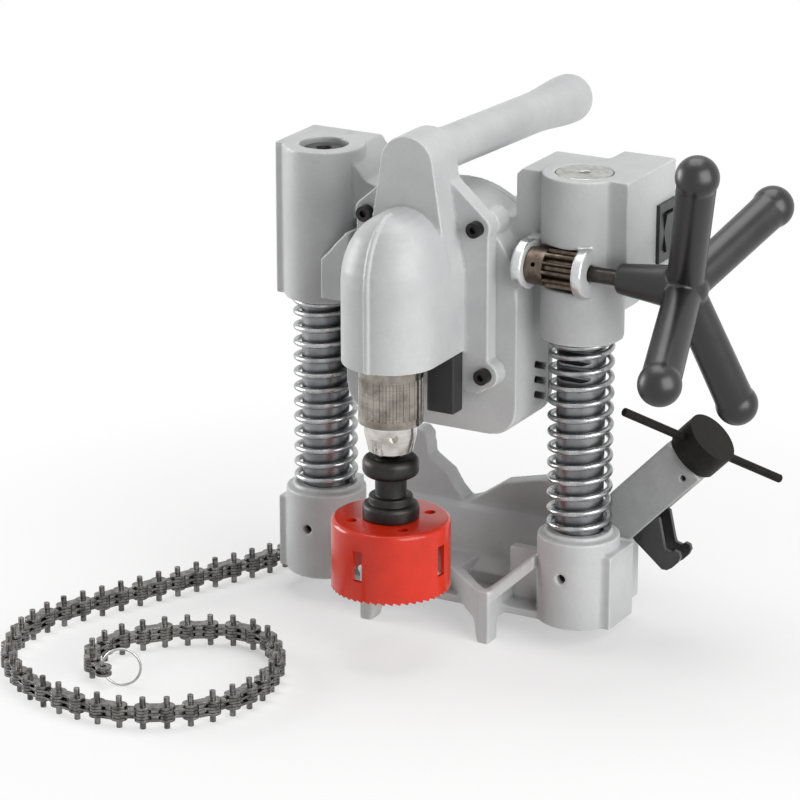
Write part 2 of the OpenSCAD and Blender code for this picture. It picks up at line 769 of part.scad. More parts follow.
// Front outline of the gear case, the motor's flange and the plate in the case: arched top, square foot
module case_outline(inset) {
    half = case_w / 2 - inset;
    translate([0, case_arc_z]) circle(case_arc_r - inset);
    translate([-half, case_low + case_r]) square([2 * half, case_arc_z - case_low - case_r]);
    translate([case_r - case_w / 2, case_low + inset]) square([case_w - 2 * case_r, case_r]);
    for (s = [-1, 1]) translate([s * (case_w / 2 - case_r), case_low + case_r]) circle(case_r - inset);
}

module head_casting() color(cast_grey) difference() {
    union() {
        translate([-cx, 0, head_low]) cylinder(r = boss_r, h = left_top - head_low);
        translate([cx, 0, head_low]) cylinder(r = boss_r, h = right_top - head_low);
        translate([-block_x, block_front, head_low])
            cube([end_block_len, left_block_depth, left_top - head_low]);
        translate([cx, block_front, right_block_low])
            cube([right_block_len, right_block_depth, right_top - right_block_low]);
        front_extrude(0, right_block_depth + block_front) polygon([[cx, head_low + 8],
            [cx + 12, head_low + 8], [head_x1, right_block_low + 1], [cx, right_block_low + 1]]);
        front_extrude(bridge_front, bridge_depth) polygon([[-cx, bridge_low], [-bridge_root, bridge_low],
            [-bridge_root, left_top - 27], [-bridge_knee, left_top - 19], [boss_r - 6 - cx, left_top - 1],
            [-cx, left_top - 1]]);
        front_extrude(bridge_front, bridge_depth) polygon([[cx, bridge_low], [bridge_root, bridge_low],
            [bridge_root, bridge_low + 14], [bridge_in, bridge_low + 18], [bridge_in, right_top - 5],
            [bridge_in + 4, right_top - 1], [cx, right_top - 1]]);
        front_extrude(case_front, 18) polygon([[1 - case_w / 2, head_low + 6], [13 - cx, head_low + 6],
            [13 - cx, head_low + 32], [-case_w / 2 - 1, head_low + 52], [1 - case_w / 2, head_low + 52]]);
        front_extrude(case_front, case_depth) case_outline(0);
        both_sides() along_y(screw_high[0], case_front, screw_high[1]) cylinder(r = lobe_r, h = lobe_len);
        along_x(ear_left_x, pinion_y, pinion_z) cylinder(r = ear_r, h = ear_t);
        translate([ear_left_x, pinion_y, pinion_z - 12])
            cube([ear_t, bridge_front + 10 - pinion_y, ear_r + 12]);
        along_x(ear_right_x, pinion_y, pinion_z) cylinder(r = ear_r, h = ear_t);
        translate([ear_right_x, pinion_y, pinion_z - 12]) cube([ear_t, -pinion_y, ear_r + 12]);
    }
    for (s = [-1, 1]) translate([s * cx, 0, 0]) {
        translate([0, 0, head_low - 1])
            rod(column_d + 2 * bush_wall + 2 * seat_fit, bush_top_z - head_low + 1);
        translate([0, 0, head_low]) rod(column_d + 2 * air, 200);
    }
    translate([cx, 0, right_top - disc_t - air]) rod(disc_d + 2 * air, disc_t + 1);
    along_x(pinion_x0 - air, pinion_y, pinion_z)
        cylinder(r = pinion_r + addendum + window_gap, h = pinion_x1 - pinion_x0 + 2 * air);
    along_x(ear_left_x - 3, pinion_y, pinion_z) rod(feed_shaft_d + 2 * run_fit, head_x1 - ear_left_x);
    front_extrude(case_front + case_wall, case_depth) case_outline(case_wall);
    front_extrude(case_front - 1, case_wall + 2) translate([0, gear_window_z])
        rounded_rect(gear_window[0], gear_window[1], gear_window_r);
    both_sides() for (p = [screw_low, screw_high]) along_y(p[0], case_front - 1, p[1])
        rod(screw_d + 2 * seat_fit, case_wall + 2);
    front_extrude(case_rear, bridge_depth) case_outline(-air);
    for (z = [case_low + 20 : 10 : case_low + 40]) both_sides()
        translate([case_w / 2 - case_wall - 1, case_front + 26, z]) rotate([-20, 0, 0])
            cube([case_wall + 2, 4 * vent_w, vent_w]);
    translate([head_x1 - switch_box_depth, switch_y, switch_z])
        translate([0, switch_rim - switch_w / 2 - seat_fit, switch_rim - switch_h / 2 - seat_fit])
        cube([switch_box_depth + 1, switch_w - 2 * switch_rim + 2 * seat_fit,
            switch_h - 2 * switch_rim + 2 * seat_fit]);
}

module column_bushes() color(bronze) for (s = [-1, 1]) for (z = [head_low + 0.2, bush_top_z - bush_len + 4])
    translate([s * cx, 0, z]) ring(column_d + 2 * bush_wall, column_d + 2 * run_fit, bush_len - 4);

function dome_points(grow) = [for (k = [0 : 8]) let (a = 90 * k / 8)
    [(nose_r + grow) * cos(a), dome_z + (dome_h + grow) * sin(a)]];
module nose_solid(grow) translate([0, sy, 0]) rotate_extrude()
    polygon(concat([[0, nose_low], [nose_r + grow, nose_low]], dome_points(grow)));

// Paddle that rises behind the nose: straight to the dome, then tapering to a round top
module fin_outline() {
    translate([0, handle_z]) circle(fin_r);
    polygon([[-nose_r, nose_low], [nose_r, nose_low], [nose_r, dome_z], [fin_waist, fin_waist_z],
        [fin_r, handle_z], [-fin_r, handle_z], [-fin_waist, fin_waist_z], [-nose_r, dome_z]]);
}

// Flange with a lobe round each screw and a gable that runs up to the fin
module flange_outline() {
    half = flange_w / 2;
    translate([-half, flange_low + flange_r]) square([flange_w, flange_shoulder - flange_low - flange_r]);
    translate([flange_r - half, flange_low]) square([flange_w - 2 * flange_r, flange_r]);
    for (s = [-1, 1]) {
        translate([s * (half - flange_r), flange_low + flange_r]) circle(flange_r);
        for (p = [screw_low, screw_high]) translate([s * p[0], p[1]]) circle(lobe_r);
    }
    corner = screw_high + polar(lobe_r, 55);
    polygon([[-half, flange_shoulder - 1], [half, flange_shoulder - 1], corner, [fin_r + 2, gable_top],
        [-fin_r - 2, gable_top], [-corner[0], corner[1]]]);
}

module spindle_housing() color(cast_grey) difference() {
    union() {
        front_extrude(flange_front, flange_t) flange_outline();
        front_extrude(fin_front, fin_rear - fin_front) fin_outline();
        front_extrude(sy, fin_front - sy + 1) polygon(concat([[-nose_r, nose_low], [nose_r, nose_low]],
            dome_points(0), [for (k = [7 : -1 : 0]) [-dome_points(0)[k][0], dome_points(0)[k][1]]]));
        nose_solid(0);
        intersection() {
            nose_solid(ridge_h);
            translate([-ridge_w / 2, 2 * sy, nose_low]) cube([ridge_w, -sy, 2 * dome_h + dome_z - nose_low]);
        }
    }
    translate([0, sy, 0]) {
        translate([0, 0, nose_low - 1]) rod(lower_bearing_d + 2 * seat_fit, chamber_low - nose_low + 2);
        translate([0, 0, chamber_low]) rod(2 * chamber_r, dome_z - chamber_low);
        translate([0, 0, dome_z - 2]) rod(bearing_d + 2 * seat_fit, bearing_w + 6);
    }
    translate([-chamber_r, sy, tunnel_low]) cube([2 * chamber_r, case_front + 1 - sy, dome_z - tunnel_low]);
    both_sides() for (p = [screw_low, screw_high]) along_y(p[0], flange_front - 1, p[1])
        rod(screw_d + 2 * seat_fit, flange_t + 2);
    along_y(0, fin_rear - stud_len - 1, handle_z) rod(stud_d + 2 * seat_fit, stud_len + 2);
}

module flange_screws() color(black) both_sides() for (p = [screw_low, screw_high])
    along_y(p[0], flange_front, p[1])
        socket_screw(screw_d, flange_t + case_wall - 1, screw_head_d, screw_head_h);

// The grip droops a little to the rear and is cut square where it meets the fin
module carry_handle() color(cast_grey) along_y(0, fin_rear, handle_z) {
    bulb = grip_r + bulb_grow;
    bulb_z = grip_len - bulb;
    flare_z = grip_len * 0.66;
    difference() {
        rotate([-handle_tilt, 0, 0]) rotate_extrude() polygon(concat([[0, -2], [grip_r + 2, -2], [grip_r, 24]],
            [for (k = [0 : 6])
                [grip_r + bulb_grow * (1 - cos(30 * k)) / 2, flare_z + (bulb_z - flare_z) * k / 6]],
            [for (k = [1 : 9]) [bulb * cos(10 * k), bulb_z + bulb * sin(10 * k)]]));
        translate([0, 0, -stud_len]) rod(4 * grip_r, stud_len);
    }
    translate([0, 0, -stud_len]) rod(stud_d, stud_len + 1);
}

module chuck_key_holder() color(black) difference() {
    translate([holder_x, flange_front - holder_depth, sleeve_low])
        cube([holder_w, holder_depth - seat_fit, nose_low - holder_gap - sleeve_low]);
    translate([holder_x + holder_w / 2, flange_front - holder_depth / 2, sleeve_low - 1])
        rod(holder_hole_d, holder_hole_deep + 1);
}

module switch_body() color(black) difference() {
    union() {
        translate([head_x1, switch_y - switch_w / 2, switch_z - switch_h / 2])
            cube([switch_t, switch_w, switch_h]);
        translate([head_x1 - switch_box_depth + 0.5, switch_y - switch_w / 2 + switch_rim,
            switch_z - switch_h / 2 + switch_rim])
            cube([switch_box_depth, switch_w - 2 * switch_rim, switch_h - 2 * switch_rim]);
    }
    translate([head_x1 - switch_box_depth + 2.5, switch_y - rocker_w / 2 - air,
        switch_z - rocker_h / 2 - rocker_gap])
        cube([2 * switch_box_depth, rocker_w + 2 * air, rocker_h + 2 * rocker_gap]);
    along_y(head_x1 - rocker_deep, switch_y - rocker_pin_len / 2 - air, switch_z)
        rod(rocker_pin_d + 2 * run_fit, rocker_pin_len + 2 * air);
}

module switch_rocker() color("#3c3c3c") {
    half = rocker_h / 2;
    translate([head_x1 - rocker_deep, 0, switch_z]) front_extrude(switch_y - rocker_w / 2, rocker_w)
        polygon([[-4, 5 - half], [3, -half], [6.5, -half], [4.4, 0], [6.5, half], [3, half], [-4, half - 5]]);
    along_y(head_x1 - rocker_deep, switch_y - rocker_pin_len / 2, switch_z) rod(rocker_pin_d, rocker_pin_len);
}

// Motor

module gear_plate() color(cast_grey) difference() {
    front_extrude(plate_y, plate_t) case_outline(case_wall + seat_fit);
    along_y(0, plate_y - 1, motor_z) rod(bearing_d + 2 * seat_fit, plate_t + 2);
    along_y(0, plate_y - 1, lay_z) rod(lay_bush_d + 2 * seat_fit, plate_t + 2);
}

module motor_housing() color(cast_grey) difference() {
    union() {
        front_extrude(motor_y0, motor_flange_t) case_outline(0);
        along_y(0, motor_y0, motor_z) rod(motor_d, motor_flange_t + motor_len);
        for (a = [0 : 30 : 330]) along_y(0, motor_y0, motor_z) rotate(a) translate([motor_r - 1, -2, 0])
            cube([4, 4, motor_flange_t + motor_len - 18]);
    }
    along_y(0, motor_y0 - 1, motor_z) rod(motor_d - 2 * motor_wall, motor_len + motor_flange_t + 2);
    both_sides() for (p = [motor_screws_low, motor_screws_high]) along_y(p[0], motor_y0 - 1, p[1])
        rod(screw_d + 2 * seat_fit, motor_flange_t + 2);
    for (a = [-60 : 20 : 60]) along_y(0, motor_y1 - 14, motor_z) rotate(a - 90)
        translate([motor_r - 2 * vent_w, -vent_w / 2, 0]) cube([4 * vent_w, vent_w, 2 * vent_w]);
}

module motor_screws() color(black) both_sides() for (p = [motor_screws_low, motor_screws_high])
    translate([p[0], motor_y0 + motor_flange_t, p[1]]) rotate([90, 0, 0])
        socket_screw(screw_d, motor_flange_t - 0.5, screw_head_d, screw_head_h);

module field_core() color("#7d8083") along_y(0, core_y0, motor_z)
    ring(motor_d - 2 * motor_wall - 2 * seat_fit, 2 * stator_in, core_len);

module brush_holders() color(bronze) both_sides() along_x(16.5, brush_y, motor_z) {
    translate([-4, -5, 0]) cube([8, 10, motor_r - motor_wall - 18]);
}

module rear_cover() color(cast_grey) difference() {
    union() {
        along_y(0, motor_y1, motor_z) rod(motor_d, cover_t);
        along_y(0, motor_y1 - hub_len, motor_z) rod(bearing_d + 8, hub_len + 1);
        along_y(0, motor_y1 - 4, motor_z)
            ring(motor_d - 2 * motor_wall - 2 * seat_fit, motor_d - 2 * motor_wall - 8, 5);
    }
    along_y(0, motor_y1 - hub_len - 1, motor_z) rod(bearing_d + 2 * seat_fit, bearing_w + 3);
    for (a = [0 : 45 : 315]) along_y(0, motor_y1 - 1, motor_z) rotate(a)
        translate([(bearing_d + 18) / 2, -vent_w / 2, 0]) cube([14, vent_w, cover_t + 2]);
    for (p = cover_screw_points()) along_y(p[0], motor_y1 - 1, motor_z + p[1])
        rod(cover_screw_d + 2 * seat_fit, cover_t + 2);
    along_y(0, motor_y1 - 1, gland_z) rod(gland_d + 2 * seat_fit, cover_t + 2);
}
function cover_screw_points() = [for (a = [22.5, 112.5, 202.5, 292.5]) polar(motor_r - 8, a)];

module cover_screws() color(black) for (p = cover_screw_points())
    translate([p[0], motor_y1 + cover_t, motor_z + p[1]]) rotate([90, 0, 0])
        socket_screw(cover_screw_d, cover_t - 0.5, cover_head_d, cover_head_h);

module cord_gland() color(black) along_y(0, motor_y1 + 0.3, gland_z) difference() {
    union() {
        rod(gland_d, cover_t + 2);
        translate([0, 0, cover_t - 0.2]) cylinder(d = gland_nut_d, h = gland_d / 2, $fn = 6);
    }
    translate([0, 0, -1]) rod(gland_d - 6, 2 * (cover_t + gland_d));
}

module armature_shaft() color(steel) union() {
    along_y(0, pinion_end_y, motor_z) rod(shaft_d - 2, plate_y - pinion_end_y + 1);
    along_y(0, plate_y, motor_z) rod(shaft_d, motor_y1 - hub_len + bearing_w + 1 - plate_y);
    along_y(0, pinion_end_y, motor_z) linear_extrude(9)
        gear_outline(small_teeth, gear_module, gear_module, gear_module * 1.2, gear_gap);
}

module armature_core() color("#8a5a35") along_y(0, core_y0 + 1, motor_z) difference() {
    rod(2 * armature_r, core_len - 2);
    translate([0, 0, -1]) rod(shaft_d + 2 * seat_fit, core_len);
    for (a = [0 : 30 : 330]) rotate(a) translate([armature_r - 3, -1, -1]) cube([4, 2, core_len]);
}

module commutator() color("#b06a3a") along_y(0, brush_y - commutator_len / 2, motor_z) difference() {
    rod(commutator_d, commutator_len);
    translate([0, 0, -1]) rod(shaft_d + 2 * seat_fit, commutator_len + 2);
    for (a = [0 : 20 : 340]) rotate(a) translate([commutator_d / 2 - 1, -0.4, -1])
        cube([2, 0.8, commutator_len + 2]);
}

module cooling_fan() color(black) along_y(0, motor_y0 + 4, motor_z) difference() {
    union() {
        rod(fan_hub_d, 12);
        rod(fan_d, 2);
        for (a = [0 : 36 : 324]) rotate(a) translate([fan_hub_d / 2 - 2, -1, 0])
            cube([(fan_d - fan_hub_d) / 2 + 1, 2, 11]);
    }
    translate([0, 0, -1]) rod(shaft_d + 2 * seat_fit, 14);
}

module bearing(outer_d, inner_d, w) {
    ring(outer_d, outer_d - 5, w);
    ring(inner_d + 5, inner_d, w);
    translate([0, 0, w / 2 - 1.5]) ring(outer_d - 5 - 0.02, inner_d + 5 + 0.02, 3);
}
module armature_bearings() color(steel) {
    along_y(0, plate_y, motor_z) bearing(bearing_d, shaft_d + 2 * run_fit, plate_t);
    along_y(0, motor_y1 - hub_len, motor_z) bearing(bearing_d, shaft_d + 2 * run_fit, bearing_w);
}

module layshaft() color(steel) along_y(0, lay_y0, lay_z) {
    rod(lay_d, plate_y + plate_t - lay_y0);
    linear_extrude(crown_face + 4)
        gear_outline(small_teeth, gear_module, gear_module * 0.9, gear_module * 1.2, 2 * gear_gap);
}

module layshaft_wheel() color(steel) along_y(0, wheel_y, lay_z) difference() {
    linear_extrude(8) gear_outline(wheel_teeth, gear_module, gear_module * 0.9, gear_module * 1.2, gear_gap);
    translate([0, 0, -1]) rod(lay_d + 2 * seat_fit, 10);
    for (a = [0 : 60 : 300]) rotate(a) translate([14, 0, -1]) rod(8, 10);
}

module layshaft_carrier() color(cast_grey) difference() {
    translate([seat_fit - chamber_r, carrier_y, tunnel_low + seat_fit])
        cube([2 * (chamber_r - seat_fit), carrier_t, dome_z - tunnel_low - 2 * seat_fit]);
    along_y(0, carrier_y - 1, lay_z) rod(lay_bush_d + 2 * seat_fit, carrier_t + 2);
}

module layshaft_bushes() color(bronze) {
    along_y(0, carrier_y, lay_z) ring(lay_bush_d, lay_d + 2 * run_fit, carrier_t);
    along_y(0, plate_y, lay_z) ring(lay_bush_d, lay_d + 2 * run_fit, plate_t);
}

// Spindle

module spindle() color(steel) translate([0, sy, 0]) {
    translate([0, 0, nose_low - spindle_tail])
        rod(spindle_d, spindle_top - nose_low + spindle_tail - bearing_w);
    translate([0, 0, spindle_top - bearing_w - 1]) rod(shaft_d, bearing_w - 2);
}

module crown_gear() color(steel) translate([0, sy, crown_z]) difference() {
    union() {
        translate([0, 0, -crown_h - crown_root]) rod(2 * crown_r + crown_face, crown_h);
        for (t = [0 : crown_teeth - 1]) rotate(360 * t / crown_teeth)
            translate([0, 0, -crown_root - 0.01]) linear_extrude(gear_module * 2.1) crown_tooth();
    }
    translate([0, 0, -crown_h - 4]) rod(spindle_d + 2 * seat_fit, crown_h + 6);
}
module crown_tooth() {
    half = 360 / crown_teeth * 0.18;
    r0 = crown_r - crown_face / 2;
    r1 = crown_r + crown_face / 2;
    polygon([polar(r0, -half), polar(r1, -half), polar(r1, half), polar(r0, half)]);
}

module spindle_bearings() color(steel) translate([0, sy, 0]) {
    translate([0, 0, lower_bearing_z]) bearing(lower_bearing_d, spindle_d + 2 * run_fit, lower_bearing_w);
    translate([0, 0, spindle_top - bearing_w]) bearing(bearing_d, shaft_d + 2 * run_fit, bearing_w - 2);
}

module chuck_sleeve() color(steel) translate([0, sy, sleeve_low]) difference() {
    rod(chuck_d, nose_low - 1 - sleeve_low);
    translate([0, 0, -1]) rod(chuck_nose_d + 2 * seat_fit, nose_low - sleeve_low - 6);
    rod(spindle_d + 2, 60);
    for (a = [0 : 12 : 348]) rotate(a) translate([chuck_d / 2 + 0.6, 0, 5])
        rod(flute_d, nose_low - sleeve_low - 14);
}

module chuck_body() color(steel) translate([0, sy, 0]) difference() {
    union() {
        translate([0, 0, sleeve_low - 8]) rod(chuck_nose_d, nose_low - sleeve_low);
        translate([0, 0, chuck_low])
            cylinder(d1 = chuck_nose_d - 5, d2 = chuck_nose_d, h = sleeve_low - 8 - chuck_low);
    }
    translate([0, 0, nose_low - spindle_tail]) rod(spindle_d + 2 * seat_fit, 2 * spindle_tail);
    translate([0, 0, chuck_low - 1]) rod(shank_d + 10.4, 30);
    for (a = [0, 120, 240]) rotate(a + key_turn) along_y(0, -chuck_nose_d / 2 - 1, chuck_low + 12)
        rod(key_hole_d, 6);
}

module chuck_jaws() color(steel) translate([0, sy, chuck_low - 3]) difference() {
    for (a = [0 : 120 : 240]) rotate(a + 30) translate([-jaw[0] / 2, shank_d / 2 + seat_fit, 0]) cube(jaw);
    translate([0, 0, -1]) rod(shank_d + 2 * seat_fit, 40);
}

module saw_arbor() color(black) translate([0, sy, 0]) difference() {
    union() {
        translate([0, 0, collar_low]) rod(shank_d, chuck_low + 26 - collar_low);
        translate([0, 0, collar_low]) soft_disc(collar_d, collar_h, collar_round, collar_round);
        translate([0, 0, plate_low + plate_h - 1]) rod(neck_d, collar_low - plate_low - plate_h + 2);
        translate([0, 0, plate_low + plate_h - 1]) soft_disc(arbor_nut_d, arbor_nut_h, 0, 1);
        translate([0, 0, plate_low]) soft_disc(collar_d, plate_h, 1.2, plate_round);
        translate([0, 0, saw_top - saw_plate]) rod(spigot_d, saw_plate + 1);
    }
    translate([0, 0, saw_top - 10]) rod(pilot_d + 2 * seat_fit, 40);
}

module hole_saw() color(saw_red) translate([0, sy, saw_low]) difference() {
    soft_disc(saw_d, saw_h, 0, saw_round);
    translate([0, 0, -1]) rod(saw_d - 2 * saw_wall, saw_h + 1 - saw_plate);
    rod(spigot_d + 2 * seat_fit, saw_h + 1);
    for (a = [45 : 90 : 315]) rotate(a) translate([saw_d * 0.34, 0, 1]) rod(slot_w, saw_h);
    for (a = slot_angles) rotate(a) translate([saw_d / 2 - slot_w, -slot_w / 2, slot_z])
        cube([2 * slot_w, slot_w, slot_h]);
    for (t = [0 : saw_teeth - 1]) rotate(360 * t / saw_teeth)
        side_extrude(saw_d / 2 - saw_wall - 1, saw_wall + 2) polygon([[0, -1], [tooth_step * 0.8, -1],
            [tooth_step * 0.8, 0], [tooth_step * 0.15, tooth_depth], [0, 0.4]]);
}

module pilot_drill() color(steel) translate([0, sy, saw_low - pilot_ahead]) union() {
    translate([0, 0, pilot_point]) rod(pilot_d, saw_h + pilot_ahead - pilot_point + 24);
    cylinder(d1 = 0.8, d2 = pilot_d, h = pilot_point);
}

// Feed

module feed_shaft() color(steel) along_x(ear_left_x - 2, pinion_y, pinion_z)
    rod(feed_shaft_d, hub_x1 - 2 - ear_left_x);

module feed_pinion() color(steel) difference() {
    union() {
        along_x(pinion_x0 + pinion_hub, pinion_y, pinion_z) linear_extrude(pinion_x1 - pinion_x0 - pinion_hub)
            rotate(90) gear_outline(pinion_teeth, rack_module, addendum, dedendum, rack_slack);
        along_x(pinion_x0, pinion_y, pinion_z) rod(2 * pinion_r + 2, pinion_hub);
    }
    along_x(pinion_x0 - 1, pinion_y, pinion_z) rod(feed_shaft_d + 2 * seat_fit, pinion_x1 - pinion_x0 + 2);
    translate([pinion_x0 + pinion_hub / 2, pinion_y, pinion_z]) rotate([70, 0, 0])
        rod(feed_screw_d, 2 * pinion_r);
}

module feed_handle() color(black) translate([0, pinion_y, pinion_z]) difference() {
    union() {
        along_x(hub_x0, 0, 0) cylinder(r1 = hub_small_r, r2 = hub_r, h = hub_x1 - hub_x0);
        along_x(hub_x1, 0, 0) cylinder(r1 = hub_r, r2 = spider_r, h = spider_x - hub_x1);
        translate([spider_x, 0, 0]) sphere(spider_r);
        for (k = [0 : 3]) rotate([first_arm + 90 * k, 0, 0]) translate([spider_x, 0, 0])
            rotate([-90, 0, -atan2(tip_x - spider_x, feed_arm_r)]) {
                cylinder(r1 = arm_root_r, r2 = arm_tip_r, h = feed_arm_len);
                translate([0, 0, feed_arm_len]) sphere(feed_ball_r);
            }
    }
    along_x(hub_x0 - 1, 0, 0) rod(feed_shaft_d + 2 * seat_fit, hub_x1 - 2.5 - hub_x0);
}

base_casting();
left_column();
right_column();
left_spring();
right_spring();
column_set_screws();
stop_disc();
clamp_arm();
arm_bolts();
clamp_screw();
clamp_drum();
tommy_bar();
hook_nut();
chain_hook();
chain_bracket();
bracket_screws();
chain_anchor_pin();
chain_run_1();
chain_run_2();
chain_run_3();
chain_run_4();
chain_run_5();
chain_ring();
head_casting();
column_bushes();
spindle_housing();
flange_screws();
carry_handle();
chuck_key_holder();
switch_body();
switch_rocker();
gear_plate();
motor_housing();
motor_screws();
field_core();
brush_holders();
rear_cover();
cover_screws();
cord_gland();
armature_shaft();
armature_core();
commutator();
cooling_fan();
armature_bearings();
layshaft();
layshaft_wheel();
layshaft_carrier();
layshaft_bushes();
spindle();
crown_gear();
spindle_bearings();
chuck_sleeve();
chuck_body();
chuck_jaws();
saw_arbor();
hole_saw();
pilot_drill();
feed_shaft();
feed_pinion();
feed_handle();
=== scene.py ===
"""Looks of a pipe hole cutting machine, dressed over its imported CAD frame.

All sizes in the classes are millimetres, in the frame's own axes: +Z up, the pipe along Y, the columns at -X
and +X.
"""

import json
import logging
import math
from collections.abc import Callable
from dataclasses import dataclass, replace
from enum import Enum

import bmesh
import bpy
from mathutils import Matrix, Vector


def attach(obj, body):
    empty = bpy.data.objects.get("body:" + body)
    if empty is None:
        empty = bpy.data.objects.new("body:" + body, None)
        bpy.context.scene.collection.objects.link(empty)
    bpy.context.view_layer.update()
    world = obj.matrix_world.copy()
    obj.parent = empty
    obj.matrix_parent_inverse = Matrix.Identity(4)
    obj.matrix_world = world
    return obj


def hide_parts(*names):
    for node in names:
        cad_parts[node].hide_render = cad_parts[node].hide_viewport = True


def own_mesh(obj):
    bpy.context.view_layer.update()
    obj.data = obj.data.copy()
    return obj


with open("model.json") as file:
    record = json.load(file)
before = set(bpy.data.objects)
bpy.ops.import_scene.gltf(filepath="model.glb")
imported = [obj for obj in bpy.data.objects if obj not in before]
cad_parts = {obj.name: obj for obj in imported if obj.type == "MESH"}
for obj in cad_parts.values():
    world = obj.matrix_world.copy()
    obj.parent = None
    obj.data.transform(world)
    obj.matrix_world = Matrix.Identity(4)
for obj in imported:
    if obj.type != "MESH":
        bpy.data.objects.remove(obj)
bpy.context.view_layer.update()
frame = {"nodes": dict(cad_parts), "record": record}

MM = 0.001
# Corners nearer than this are one corner, and faces that turn less than this many degrees are one face
WELD_GAP = 0.002
FLAT_ANGLE = 0.6
# Edges that turn by more than this many degrees stay sharp, on turned and on machined pieces
SHARP_TURNED = 40.0
SHARP_MACHINED = 50.0
# Sockets of the colour mixing node
MIX_SHARE, MIX_FIRST, MIX_SECOND, MIX_RESULT = 0, 6, 7, 2
# Noise detail of the broad and the fine pattern
PATCH_DETAIL = 4.0
PATCH_BREAK_UP = 0.6
GRAIN_DETAIL = 2.0
# Values of the patterns between which colour and roughness change, and how strongly the grain tints
FADE_SPAN = (0.4, 0.75)
FLECK_SPAN = (0.3, 0.7)
SHEEN_SPAN = (0.3, 0.7)
FLECK_SHARE = 0.35
# Curvature at which painted shade with grime in the hollows and painted highlight with wear on the edges start
# and at which they are full, and how strongly they tint
RECESS_SPAN = (0.492, 0.44)
RIM_SPAN = (0.515, 0.58)
BEND_SHARE = 0.75
BODY_OF = {node: body for body, nodes in frame["record"]["behaviour"]["bodies"].items() for node in nodes}
SLOT_OF = {part["node"]: part["material_slot"] for part in frame["record"]["subparts"]}
Colour = tuple[float, float, float, float]
log = logging.getLogger("pipe_hole_cutter")


def linear(code: str) -> Colour:
    """Turns an sRGB hex colour into the linear colour that shaders take.

    Args:
        code: six hex digits after a hash sign.

    Returns:
        Linear red, green and blue, with an alpha of 1.
    """
    parts = [int(code[k:k + 2], 16) / 255 for k in (1, 3, 5)]
    red, green, blue = (c / 12.92 if c <= 0.04045 else ((c + 0.055) / 1.055) ** 2.4 for c in parts)
    return (red, green, blue, 1.0)


def per_metre(size_mm: float) -> float:
    """Turns the size of a pattern's cell in millimetres into the scale of a texture in metres."""
    return 1000.0 / size_mm


def add_node(tree: bpy.types.NodeTree, kind: str, settings: dict | None = None,
             links: dict | None = None) -> bpy.types.Node:
    """Adds a shader node with its settings and its incoming links.

    Args:
        tree: node tree that takes the node.
        kind: Blender's name of the node type.
        settings: values by input name, input number or property name.
        links: output sockets by input name or number.

    Returns:
        The new node.
    """
    node = tree.nodes.new(kind)
    for key, value in (settings or {}).items():
        if isinstance(key, int) or key in node.inputs:
            node.inputs[key].default_value = value
        else:
            setattr(node, key, value)
    for key, socket in (links or {}).items():
        tree.links.new(socket, node.inputs[key])
    return node


class Axis(Enum):
    """Direction along which tool marks or laminations repeat."""

    X = (1.0, 0.02, 0.02)
    Y = (0.02, 1.0, 0.02)
    Z = (0.02, 0.02, 1.0)
    NONE = (1.0, 1.0, 1.0)


